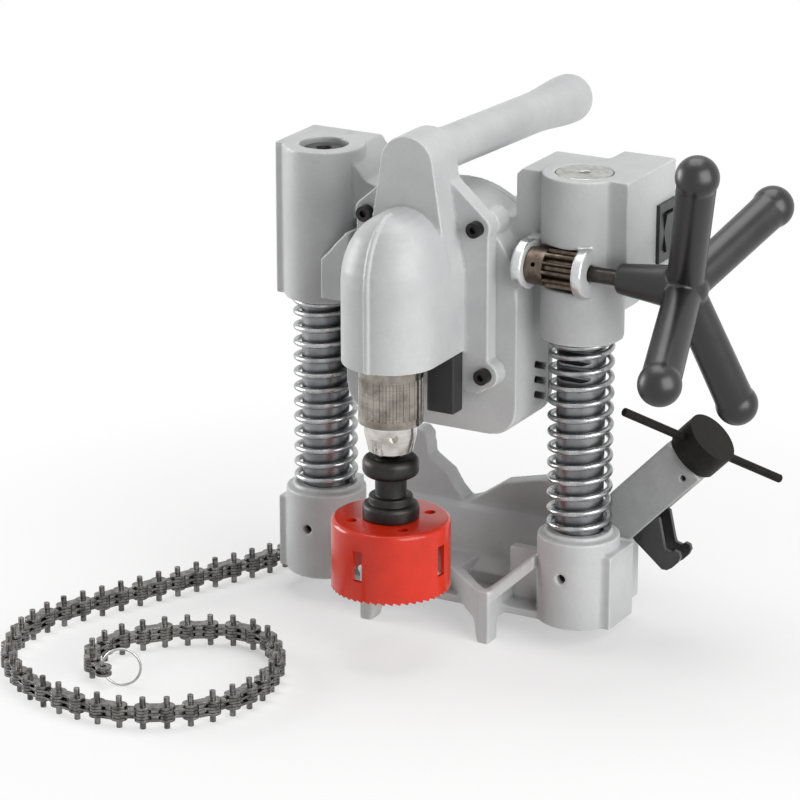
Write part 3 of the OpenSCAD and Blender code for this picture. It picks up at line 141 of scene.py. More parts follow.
@dataclass(frozen=True)
class Finish:
    """A material: what the surface is made of, how it was made, and what marks it carries.

    Attributes:
        name: real material and the way its surface was made.
        colour: clean surface, sRGB hex.
        mottle: what broad patches fade to, sRGB hex.
        patch: size of those patches.
        roughness: lowest and highest roughness over the patches.
        metallic: 1 for a bare metal, 0 for paint, plastic and rubber.
        ior: refractive index of a surface that isn't metal.
        grain: size of the fine relief.
        relief: depth of the fine relief.
        marks: direction in which tool marks repeat.
        recess: colour that darkens hollows as painted shade with grime, sRGB hex, or nothing.
        rim: colour that lightens edges as painted highlight with wear, sRGB hex, or nothing.
        coat: weight of a clear gloss layer.
        coat_roughness: roughness of that layer.
        edge: lighter colour of machined parts' broken edges, wear and painted highlight, sRGB hex, or nothing.
    """

    name: str
    colour: str
    mottle: str
    patch: float = 30.0
    roughness: tuple[float, float] = (0.4, 0.5)
    metallic: float = 0.0
    ior: float = 1.5
    grain: float = 1.0
    relief: float = 0.05
    marks: Axis = Axis.NONE
    recess: str | None = None
    rim: str | None = None
    coat: float = 0.0
    coat_roughness: float = 0.2
    edge: str | None = None

    def worn_and_highlit(self) -> "Finish":
        """Gives the finish of broken edges: lighter where handling has rubbed the surface, and as painted
        highlight.
        """
        return replace(self, name=f"{self.name}_worn_and_highlit_edge", colour=self.edge or self.colour,
                       mottle=self.colour, edge=None)

    def material(self) -> bpy.types.Material:
        """Builds the material once and hands it out from then on.

        Returns:
            The Blender material.
        """
        known = bpy.data.materials.get(self.name)
        if known:
            return known
        material = bpy.data.materials.new(self.name)
        material.use_nodes = True
        tree = material.node_tree
        tree.nodes.clear()
        place = add_node(tree, "ShaderNodeTexCoord").outputs["Object"]
        broad = {"Scale": per_metre(self.patch), "Detail": PATCH_DETAIL, "Roughness": PATCH_BREAK_UP}
        patches = add_node(tree, "ShaderNodeTexNoise", broad, {"Vector": place}).outputs["Fac"]
        grain = self.grain_pattern(tree, place)
        gloss = {"Metallic": self.metallic, "Coat Weight": self.coat, "Coat Roughness": self.coat_roughness}
        if self.metallic < 1.0:
            gloss["IOR"] = self.ior
        links = {"Base Color": self.tint(tree, patches, grain), "Roughness": self.sheen(tree, patches),
                 "Normal": self.surface(tree, grain)}
        shader = add_node(tree, "ShaderNodeBsdfPrincipled", gloss, links)
        add_node(tree, "ShaderNodeOutputMaterial", {}, {"Surface": shader.outputs["BSDF"]})
        material.diffuse_color = linear(self.colour)
        return material

    def grain_pattern(self, tree: bpy.types.NodeTree, place: bpy.types.NodeSocket) -> bpy.types.NodeSocket:
        """Draws the fine pattern, stretched into lines where a tool left marks.

        Args:
            tree: node tree of the material.
            place: position on the surface in metres.

        Returns:
            Socket with the pattern's value from 0 to 1.
        """
        stretch = add_node(tree, "ShaderNodeMapping", {"Scale": self.marks.value}, {"Vector": place})
        fine = {"Scale": per_metre(self.grain), "Detail": GRAIN_DETAIL}
        return add_node(tree, "ShaderNodeTexNoise", fine, {"Vector": stretch.outputs["Vector"]}).outputs["Fac"]

    def tint(self, tree: bpy.types.NodeTree, patches: bpy.types.NodeSocket,
             grain: bpy.types.NodeSocket) -> bpy.types.NodeSocket:
        """Mixes clean colour, patches, grain, painted shade with grime in hollows, painted highlight with wear
        on edges.

        Args:
            tree: node tree of the material.
            patches: broad pattern.
            grain: fine pattern.

        Returns:
            Socket with the colour.
        """
        fade = add_node(tree, "ShaderNodeMapRange", {"From Min": FADE_SPAN[0], "From Max": FADE_SPAN[1]},
                        {"Value": patches})
        colours = {"data_type": "RGBA", MIX_FIRST: linear(self.colour), MIX_SECOND: linear(self.mottle)}
        tone = add_node(tree, "ShaderNodeMix", colours, {MIX_SHARE: fade.outputs["Result"]}).outputs[MIX_RESULT]
        bend = add_node(tree, "ShaderNodeNewGeometry").outputs["Pointiness"]
        # After the grain's flecks, hollows darken as painted shade with grime and edges lighten as painted
        # highlight with wear
        layers = ((self.mottle, grain, FLECK_SPAN, FLECK_SHARE), (self.recess, bend, RECESS_SPAN, BEND_SHARE),
                  (self.rim, bend, RIM_SPAN, BEND_SHARE))
        for code, pattern, (none, full), most in layers:
            if code:
                span = {"From Min": none, "From Max": full, "To Max": most}
                share = add_node(tree, "ShaderNodeMapRange", span, {"Value": pattern})
                tone = add_node(tree, "ShaderNodeMix", {"data_type": "RGBA", MIX_SECOND: linear(code)},
                                {MIX_SHARE: share.outputs["Result"], MIX_FIRST: tone}).outputs[MIX_RESULT]
        return tone

    def sheen(self, tree: bpy.types.NodeTree, patches: bpy.types.NodeSocket) -> bpy.types.NodeSocket:
        """Spreads the roughness over the patches.

        Args:
            tree: node tree of the material.
            patches: broad pattern.

        Returns:
            Socket with the roughness.
        """
        low, high = self.roughness
        span = {"From Min": SHEEN_SPAN[0], "From Max": SHEEN_SPAN[1], "To Min": low, "To Max": high}
        return add_node(tree, "ShaderNodeMapRange", span, {"Value": patches}).outputs["Result"]

    def surface(self, tree: bpy.types.NodeTree, grain: bpy.types.NodeSocket) -> bpy.types.NodeSocket:
        """Raises the fine pattern as relief.

        Args:
            tree: node tree of the material.
            grain: fine pattern.

        Returns:
            Socket with the surface's normal.
        """
        return add_node(tree, "ShaderNodeBump", {"Strength": 1.0, "Distance": self.relief * MM},
                        {"Height": grain}).outputs["Normal"]


# Sand-cast aluminium under silver-grey stoving enamel: soft satin light with a faint orange-peel grain,
# painted shade with dust in the hollows, and painted highlight with wear on the edges. The peel is drawn about
# twice as coarse as it is, to show at all.
CAST_ENAMEL = Finish("silver_enamel_on_sand_cast_aluminium", "#BEBFBF", "#B0B1B2", 40.0, (0.34, 0.46), 0.0,
                     1.42, 2.4, 0.035, Axis.NONE, "#565757", "#E0E1E0", 0.05, 0.25)
# The same castings where a face was milled after painting: bright bare aluminium with fine cutter lines.
MILLED_FACE = Finish("milled_bare_aluminium", "#DADBDB", "#BFC0C1", 9.0, (0.24, 0.36), 1.0, 1.5, 0.9, 0.012,
                     Axis.Z)
# Folded steel channel under mid-grey enamel: duller and darker than the castings, with painted shade and dust
# in the hollows and painted highlight with wear on the edges.
ARM_ENAMEL = Finish("grey_enamel_on_folded_steel", "#9C9D9D", "#8C8D8C", 26.0, (0.42, 0.52), 0.0, 1.5, 1.8,
                    0.04, Axis.NONE, "#565655", "#B9B9B8", 0.05, 0.4)
# Bare cast aluminium inside the gear case: dull, with dark oil.
INNER_CASTING = Finish("bare_cast_aluminium_with_oil", "#9B9C9C", "#77766F", 14.0, (0.45, 0.6), 1.0)
# Centreless-ground steel: bright, with fine rings round the bar. The rings are drawn coarser than they are.
GROUND_STEEL = Finish("centreless_ground_carbon_steel", "#C9CACA", "#A9AAAB", 18.0, (0.16, 0.26), 1.0, 1.5, 0.9,
                      0.01, Axis.Z)
# The columns: ground steel drawn darker all over as painted shade, so they stay dull and dark between the
# curls.
COLUMN_STEEL = Finish("ground_column_steel_with_painted_shade", "#8E8F91", "#636467", 22.0, (0.3, 0.42), 1.0, 1.5,
                      0.9, 0.012, Axis.Z)
# The sunk end of the left column, drawn near black.
DARK_COLUMN_END = Finish("dark_sawn_column_end", "#3E3D3C", "#1C1B1A", 5.0, (0.42, 0.6), 0.6, 1.5, 0.8, 0.03)
# Hard-drawn spring wire: bright with a grey drawing film in streaks.
SPRING_WIRE = Finish("hard_drawn_spring_steel_wire", "#B4B5B5", "#7C7D7E", 9.0, (0.22, 0.36), 1.0, 1.5, 1.2,
                     0.015)
# Hobbed gear steel with an oil film that has gone brown; darker in the tooth gaps as painted shade with oil,
# and lighter on the broken edges as wear and painted highlight.
GEAR_STEEL = Finish("hobbed_case_hardened_steel_with_oil", "#71665B", "#40362E", 6.0, (0.3, 0.42), 1.0, 1.5,
                    0.8, 0.02, Axis.X, "#241E19", edge="#A1988E")
# Ground bearing rings: the brightest of the inner steels, with fine lines round them.
BEARING_STEEL = Finish("ground_bearing_steel", "#B9BBBD", "#94979A", 8.0, (0.14, 0.24), 1.0, 1.5, 0.6, 0.01,
                       Axis.Z)
# Sintered bronze bushes, dull with oil in the pores.
BRONZE = Finish("oiled_sintered_bronze", "#A8804A", "#7A5A31", 5.0, (0.35, 0.5), 1.0, 1.5, 0.7, 0.03)
# Hardened chuck steel, turned and polished: mirror-like with warm streaks.
CHUCK_STEEL = Finish("polished_hardened_chuck_steel", "#A8A29B", "#6A635C", 12.0, (0.1, 0.2), 1.0, 1.5, 0.8,
                     0.008, Axis.Z)
# The chuck's nose below the sleeve: the same steel, ground bright.
CHUCK_NOSE = Finish("ground_bright_chuck_steel", "#D5D1CC", "#A39D97", 10.0, (0.12, 0.22), 1.0, 1.5, 0.8, 0.01,
                    Axis.Z)
# Plain turned steel disc, stained by handling.
DISC_STEEL = Finish("turned_mild_steel_with_stains", "#B4B5B2", "#84857F", 7.0, (0.28, 0.44), 1.0, 1.5, 1.1,
                    0.02)
# Chemically blackened steel: near black, darker still in the hollows as painted shade, with bare metal on the
# sharp corners, lightened also as painted highlight.
BLACK_OXIDE = Finish("black_oxide_on_turned_steel", "#2A2A2B", "#3A3735", 9.0, (0.34, 0.46), 0.85, 1.5, 0.9,
                     0.02, Axis.Z, "#151515", edge="#5E5C5A")
# Turned drum and bar, dark from handling and oil, with lighter broken edges as wear and painted highlight.
DRUM_STEEL = Finish("oil_blackened_turned_steel", "#0E0E0E", "#26231F", 11.0, (0.42, 0.58), 0.0, 1.22, 0.9,
                    0.02, edge="#8A8986")
# Black brushing enamel on flame-cut plate, with lighter broken edges as rubbed paint and painted highlight.
HOOK_ENAMEL = Finish("black_enamel_on_cut_steel_plate", "#242425", "#2F2F30", 10.0, (0.32, 0.45), 0.0, 1.5, 1.4,
                     0.05, coat=0.2, coat_roughness=0.3, edge="#5A5958")
# Leaf chain: dark oily steel with rubbed patches; the bright plate edges are painted highlight on polished
# metal.
CHAIN_STEEL = Finish("oiled_leaf_chain_steel", "#8A8784", "#2B2928", 5.0, (0.2, 0.38), 1.0, 1.5, 0.8, 0.03,
                     edge="#E2DFDB")
# Zinc-plated wire ring: pale and slightly cloudy.
RING_WIRE = Finish("zinc_plated_wire", "#BEBFBC", "#96978F", 4.0, (0.26, 0.4), 1.0, 1.5, 0.9, 0.015)
# Red-orange baked enamel on the saw cup: glossy, with faint patches where the film is thinner.
SAW_ENAMEL = Finish("baked_red_enamel_on_steel", "#CE2A0C", "#BC2208", 22.0, (0.2, 0.28), 0.0, 1.42, 2.0,
                    0.008, coat=0.12, coat_roughness=0.08)
# Moulded glass-filled nylon: satin black with a fine spark-eroded grain, drawn coarser than it is.
HANDLE_NYLON = Finish("moulded_black_nylon", "#111112", "#191919", 20.0, (0.28, 0.38), 0.0, 1.53, 1.3, 0.02)
# The feed shaft, dark with oil like the pinion.
SHAFT_STEEL = Finish("oil_darkened_feed_shaft_steel", "#4A4744", "#2E2B29", 7.0, (0.26, 0.4), 1.0, 1.5, 0.8,
                     0.012, Axis.X)
# Moulded rubber block: matt, with a pale bloom.
HOLDER_RUBBER = Finish("moulded_black_rubber", "#202021", "#2B2B2B", 12.0, (0.58, 0.72), 0.0, 1.52, 1.1, 0.03)
# Moulded switch body and rocker: black with a sharper sheen than the handles.
SWITCH_NYLON = Finish("moulded_switch_nylon", "#1D1E1F", "#27282A", 9.0, (0.3, 0.4), 0.0, 1.53, 0.9, 0.015)
# Stacked electrical steel: edges of the sheets as fine lines, drawn coarser than their half millimetre.
CORE_STEEL = Finish("stacked_electrical_steel", "#7B7D80", "#55575A", 10.0, (0.38, 0.5), 1.0, 1.5, 1.2, 0.05,
                    Axis.Y)
# Turned copper segments with a brown brush track.
COPPER = Finish("turned_copper_segments", "#B7784F", "#7E4E33", 6.0, (0.24, 0.38), 1.0, 1.5, 0.8, 0.02,
                Axis.Y)

SLOT_FINISH = {"cast_paint": CAST_ENAMEL, "arm_paint": ARM_ENAMEL, "inner_casting": INNER_CASTING,
               "ground_steel": GROUND_STEEL, "spring_steel": SPRING_WIRE, "gear_steel": GEAR_STEEL,
               "bearing_steel": BEARING_STEEL, "bronze": BRONZE, "chuck_steel": CHUCK_STEEL,
               "disc_steel": DISC_STEEL, "black_oxide": BLACK_OXIDE, "drum_steel": DRUM_STEEL,
               "hook_paint": HOOK_ENAMEL, "chain_steel": CHAIN_STEEL, "ring_wire": RING_WIRE,
               "saw_enamel": SAW_ENAMEL, "handle_plastic": HANDLE_NYLON, "holder_rubber": HOLDER_RUBBER,
               "switch_plastic": SWITCH_NYLON, "core_steel": CORE_STEEL, "copper": COPPER}


def settle(piece: bpy.types.Object) -> None:
    """Turns a piece's modifiers into plain mesh, and leaves it with none.

    Args:
        piece: mesh object with modifiers.
    """
    bpy.context.view_layer.update()
    graph = bpy.context.evaluated_depsgraph_get()
    shaped = bpy.data.meshes.new_from_object(piece.evaluated_get(graph))
    piece.modifiers.clear()
    piece.data = shaped


def mesh_object(name: str, points: list[Vector], faces: list[tuple[int, ...]]) -> bpy.types.Object:
    """Makes a mesh object from points in millimetres.

    Args:
        name: name of the object and of its mesh.
        points: corners in millimetres.
        faces: corner numbers of each face.

    Returns:
        The new object, linked to the scene.
    """
    mesh = bpy.data.meshes.new(name)
    mesh.from_pydata([tuple(p * MM) for p in points], [], faces)
    mesh.update()
    piece = bpy.data.objects.new(name, mesh)
    bpy.context.scene.collection.objects.link(piece)
    return piece


def outward(piece: bpy.types.Object) -> bpy.types.Object:
    """Turns the faces of a closed piece outwards, and shades it smooth between its sharp edges.

    Args:
        piece: closed mesh object.

    Returns:
        The same piece.
    """
    work = bmesh.new()
    work.from_mesh(piece.data)
    bmesh.ops.recalc_face_normals(work, faces=work.faces)
    work.to_mesh(piece.data)
    work.free()
    piece.data.shade_smooth()
    piece.data.set_sharp_from_angle(angle=math.radians(SHARP_TURNED))
    return piece


def tube(name: str, path: list[Vector], radius: float, sides: int) -> bpy.types.Object:
    """Sweeps a round wire along a path, with flat closed ends.

    Args:
        name: name of the new object.
        path: centre points in millimetres.
        radius: radius of the wire.
        sides: number of flats round it.

    Returns:
        The tube, as a mesh object.
    """
    points: list[Vector] = []
    upright = abs((path[1] - path[0]).normalized().z) > 0.9
    across = Vector((1.0, 0.0, 0.0)) if upright else Vector((0.0, 0.0, 1.0))
    for k, centre in enumerate(path):
        ahead = (path[min(k + 1, len(path) - 1)] - path[max(k - 1, 0)]).normalized()
        across = (across - ahead * across.dot(ahead)).normalized()
        beside = ahead.cross(across)
        turns = [2 * math.pi * s / sides for s in range(sides)]
        points += [centre + radius * (math.cos(t) * across + math.sin(t) * beside) for t in turns]
    faces: list[tuple[int, ...]] = []
    for k in range(len(path) - 1):
        for s in range(sides):
            a, b = k * sides + s, k * sides + (s + 1) % sides
            faces.append((a, b, b + sides, a + sides))
    faces.append(tuple(reversed(range(sides))))
    faces.append(tuple(range((len(path) - 1) * sides, len(path) * sides)))
    return outward(mesh_object(name, points, faces))


def rounded(corners: list[tuple[float, float, float]], flats: int = 6) -> list[tuple[float, float]]:
    """Rounds the corners of an outline.

    Args:
        corners: across, up and rounding radius of each corner.
        flats: number of flats in each rounding.

    Returns:
        Points of the rounded outline.
    """
    points: list[tuple[float, float]] = []
    for k, (x, z, radius) in enumerate(corners):
        here = Vector((x, z))
        if radius == 0.0 or k in (0, len(corners) - 1):
            points.append((x, z))
            continue
        back = (Vector(corners[k - 1][:2]) - here).normalized()
        ahead = (Vector(corners[k + 1][:2]) - here).normalized()
        half = back.angle(ahead) / 2
        middle = here + (back + ahead).normalized() * radius / math.sin(half)
        first = here + back * radius / math.tan(half) - middle
        last = here + ahead * radius / math.tan(half) - middle
        for step in range(flats + 1):
            points.append(tuple(middle + radius * first.slerp(last, step / flats)))
    return points


def turned(name: str, outline: list[tuple[float, float]], centre: Vector, sides: int) -> bpy.types.Object:
    """Turns a closed outline round an upright axis, as on a lathe.

    Args:
        name: name of the new object.
        outline: radius and height of each point, in order round the section.
        centre: a point on the axis.
        sides: number of flats round the axis.

    Returns:
        The turned piece, as a mesh object.
    """
    count = len(outline)
    points, faces = [], []
    for s in range(sides):
        turn = 2 * math.pi * s / sides
        points += [centre + Vector((r * math.cos(turn), r * math.sin(turn), z)) for r, z in outline]
        for k in range(count):
            a, b, after = s * count + k, s * count + (k + 1) % count, ((s + 1) % sides) * count
            faces.append((a, after + k, after + (k + 1) % count, b))
    return outward(mesh_object(name, points, faces))


@dataclass
class SubAssembly:
    """What every sub-assembly does: copies CAD shapes, softens their edges and dresses them."""

    def copy_of(self, node: str) -> bpy.types.Object:
        """Copies a CAD node's shape into a new piece named after it.

        Args:
            node: CAD node.

        Returns:
            The copy, with its corners welded.
        """
        mesh = frame["nodes"][node].data.copy()
        mesh.materials.clear()
        piece = bpy.data.objects.new(f"{node}_dressed", mesh)
        bpy.context.scene.collection.objects.link(piece)
        work = bmesh.new()
        work.from_mesh(mesh)
        bmesh.ops.remove_doubles(work, verts=work.verts, dist=WELD_GAP * MM)
        work.to_mesh(mesh)
        work.free()
        return piece

    def cast(self, node: str, voxel: float, passes: int, keep: float) -> bpy.types.Object:
        """Rebuilds a casting or moulding with soft edges and fillets, as it comes from its mould.

        Args:
            node: CAD node.
            voxel: size of the rebuilding grid.
            passes: number of smoothing passes, which sets how soft the edges are.
            keep: share of the faces that stays.

        Returns:
            The softened piece.
        """
        piece = self.copy_of(node)
        grid = piece.modifiers.new("mould", "REMESH")
        grid.mode = "VOXEL"
        grid.voxel_size = voxel * MM
        soft = piece.modifiers.new("fillets", "SMOOTH")
        soft.factor = 0.5
        soft.iterations = passes
        thin = piece.modifiers.new("thin", "DECIMATE")
        thin.ratio = keep
        settle(piece)
        piece.data.shade_smooth()
        return piece

    def machined(self, node: str, width: float, sharp: float = 35.0, segments: int = 2) -> bpy.types.Object:
        """Copies a machined part and breaks its sharp edges.

        Args:
            node: CAD node.
            width: width of the broken edge.
            sharp: angle in degrees from which an edge counts as sharp.
            segments: number of flats across the broken edge.

        Returns:
            The copy with rounded edges.
        """
        piece = self.copy_of(node)
        work = bmesh.new()
        work.from_mesh(piece.data)
        bmesh.ops.dissolve_limit(work, angle_limit=math.radians(FLAT_ANGLE), verts=work.verts, edges=work.edges)
        limit = math.radians(sharp)
        edges = [e for e in work.edges if len(e.link_faces) == 2 and e.calc_face_angle(0.0) > limit]
        broken = bmesh.ops.bevel(work, geom=edges, offset=width * MM, offset_type="OFFSET", segments=segments,
                                 profile=0.5, affect="EDGES", clamp_overlap=True)
        for face in broken["faces"]:
            face.material_index = 1
        work.to_mesh(piece.data)
        work.free()
        piece.data.shade_smooth()
        piece.data.set_sharp_from_angle(angle=math.radians(SHARP_MACHINED))
        normals = piece.modifiers.new("flat_faces", "WEIGHTED_NORMAL")
        normals.keep_sharp = True
        return piece

    def place(self, piece: bpy.types.Object, *nodes: str, finish: Finish | None = None) -> bpy.types.Object:
        """Dresses a piece, hangs it on its body and lets it stand for its CAD nodes.

        Args:
            piece: finished mesh.
            nodes: CAD nodes that the piece stands for.
            finish: finish of the piece, or nothing for the finish of the first node's slot.

        Returns:
            The same piece.
        """
        slot = SLOT_OF[nodes[0]]
        finish = finish or SLOT_FINISH[slot]
        piece.data.materials.clear()
        piece.data.materials.append(finish.material())
        # Broken edges get the lighter edge finish: wear and painted highlight
        if finish.edge:
            piece.data.materials.append(finish.worn_and_highlit().material())
        else:
            piece.data.polygons.foreach_set("material_index", [0] * len(piece.data.polygons))
        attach(piece, BODY_OF[nodes[0]])
        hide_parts(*nodes)
        log.info("%s rides on %s", piece.name, BODY_OF[nodes[0]])
        return piece

    def mark_faces(self, piece: bpy.types.Object, finish: Finish,
                   belongs: Callable[[Vector, Vector], bool]) -> None:
        """Gives some of a piece's faces a second finish.

        Args:
            piece: piece that already has its main finish.
            finish: finish of the chosen faces.
            belongs: tells from a face's middle in millimetres and its direction whether it is chosen.
        """
        piece.data.materials.append(finish.material())
        last = len(piece.data.materials) - 1
        for face in piece.data.polygons:
            if belongs(face.center / MM, face.normal):
                face.material_index = last

    def dress(self, node: str, finish: Finish | None = None) -> None:
        """Gives a CAD node that keeps its shape a finish, or else the finish of its slot."""
        mesh = frame["nodes"][node].data
        mesh.materials.clear()
        mesh.materials.append((finish or SLOT_FINISH[SLOT_OF[node]]).material())
        log.info("%s keeps its CAD shape", node)


@dataclass
class SaddleBase(SubAssembly):
    """Base casting with its columns, screws and chain bracket."""

    voxel: float = 1.0
    fillet_passes: int = 10
    faces_kept: float = 0.45
    column_edge: float = 0.8
    screw_edge: float = 0.35
    sunk_end_z: float = 298.0

    def build(self) -> None:
        """Builds and dresses the base and what is fixed to it."""
        self.place(self.cast("base_casting", self.voxel, self.fillet_passes, self.faces_kept), "base_casting")
        for node in ("left_column", "right_column"):
            column = self.place(self.machined(node, self.column_edge), node, finish=COLUMN_STEEL)
            self.mark_faces(column, DARK_COLUMN_END, lambda middle, way: middle.z > self.sunk_end_z)
        self.place(self.machined("stop_disc", self.column_edge), "stop_disc")
        self.place(self.machined("chain_bracket", self.column_edge), "chain_bracket")
        for node in ("column_set_screws", "bracket_screws", "chain_anchor_pin"):
            self.place(self.machined(node, self.screw_edge), node)


@dataclass
class ReturnSprings(SubAssembly):
    """The two return springs: wound wire with closed ends on the column seats."""

    column_x: float = 93.0
    mean_radius: float = 19.26
    wire_radius: float = 1.9
    seat_z: float = 77.0
    top_z: float = 205.95
    curls: int = 13
    closed_turns: float = 0.8
    closed_pitch: float = 4.2
    ease_turns: float = 0.25
    rings_per_curl: int = 40
    wire_sides: int = 14
    feed_travel: float = 60.0

    def heights(self) -> list[float]:
        """Works out the height of each ring, with the end curls wound close.

        Returns:
            Heights of the wire's centre, from the lower seat to the upper one.
        """
        count = self.curls * self.rings_per_curl
        reach = self.top_z - self.seat_z - 2 * self.wire_radius
        closed = 2 * self.closed_turns
        open_pitch = (reach - closed * self.closed_pitch) / (self.curls - closed)
        steps = []
        for k in range(count):
            from_end = min(k, count - 1 - k) / self.rings_per_curl
            share = (from_end - self.closed_turns + self.ease_turns) / (2 * self.ease_turns)
            share = min(max(share, 0.0), 1.0)
            share = share * share * (3 - 2 * share)
            steps.append(self.closed_pitch + (open_pitch - self.closed_pitch) * share)
        stretch = reach / sum(steps)
        heights = [self.seat_z + self.wire_radius]
        for step in steps:
            heights.append(heights[-1] + step * stretch)
        return heights

    def build(self) -> None:
        """Winds both springs."""
        for node, x in (("left_spring", -self.column_x), ("right_spring", self.column_x)):
            path = []
            for k, z in enumerate(self.heights()):
                turn = 2 * math.pi * k / self.rings_per_curl
                out, back = self.mean_radius * math.cos(turn), self.mean_radius * math.sin(turn)
                path.append(Vector((x + out, back, z)))
            spring = self.place(tube(f"{node}_dressed", path, self.wire_radius, self.wire_sides), node)
            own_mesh(spring)


@dataclass
class ChainClamp(SubAssembly):
    """Clamp arm, screw, drum, hook and the leaf chain with its ring."""

    arm_voxel: float = 0.8
    arm_passes: int = 3
    arm_faces: float = 0.4
    drum_edge: float = 1.2
    bar_edge: float = 0.8
    plate_edge: float = 0.6
    leaf_edge: float = 0.25
    runs: int = 5

    def build(self) -> None:
        """Builds and dresses the clamp and its chain."""
        self.place(self.cast("clamp_arm", self.arm_voxel, self.arm_passes, self.arm_faces), "clamp_arm")
        self.place(self.machined("clamp_drum", self.drum_edge), "clamp_drum")
        for node in ("tommy_bar", "clamp_screw", "arm_bolts"):
            self.place(self.machined(node, self.bar_edge), node)
        for node in ("chain_hook", "hook_nut"):
            self.place(self.machined(node, self.plate_edge), node)
        for run in range(1, self.runs + 1):
            self.place(self.machined(f"chain_run_{run}", self.leaf_edge), f"chain_run_{run}")
        self.dress("chain_ring")


@dataclass
class SlidingHead(SubAssembly):
    """Head casting, nose, handle, switch and the motor's outer shells."""

    voxel: float = 1.0
    fillet_passes: int = 7
    faces_kept: float = 0.4
    fine_voxel: float = 0.8
    soft_passes: int = 4
    screw_edge: float = 0.4
    switch_edge: float = 0.5
    ear_axis: tuple[float, float] = (-23.2, 254.5)
    ear_radius: float = 16.0
    ear_x: tuple[tuple[float, float], ...] = ((61.0, 69.0), (101.5, 110.5))
    rim_band: tuple[float, float] = (1.5, 0.5)
    rim_facing: float = 0.4

    def on_ear(self, middle: Vector, way: Vector) -> bool:
        """Tells whether a face lies on the milled rim of a pinion ear."""
        out = Vector((0.0, middle.y - self.ear_axis[0], middle.z - self.ear_axis[1]))
        under, over = self.rim_band
        on_rim = self.ear_radius - under < out.length < self.ear_radius + over
        faces_out = way.dot(out.normalized()) > self.rim_facing
        return on_rim and faces_out and any(low < middle.x < high for low, high in self.ear_x)

    def build(self) -> None:
        """Builds and dresses the head's outer pieces."""
        head = self.cast("head_casting", self.voxel, self.fillet_passes, self.faces_kept)
        self.mark_faces(self.place(head, "head_casting"), MILLED_FACE, self.on_ear)
        for node in ("spindle_housing", "carry_handle", "motor_housing", "rear_cover"):
            self.place(self.cast(node, self.fine_voxel, self.soft_passes, self.faces_kept), node)
        self.place(self.cast("chuck_key_holder", self.fine_voxel, self.fillet_passes, self.faces_kept),
                   "chuck_key_holder")
        for node in ("switch_body", "switch_rocker", "cord_gland"):
            self.place(self.machined(node, self.switch_edge), node)
        for node in ("flange_screws", "motor_screws", "cover_screws"):
            self.place(self.machined(node, self.screw_edge), node)


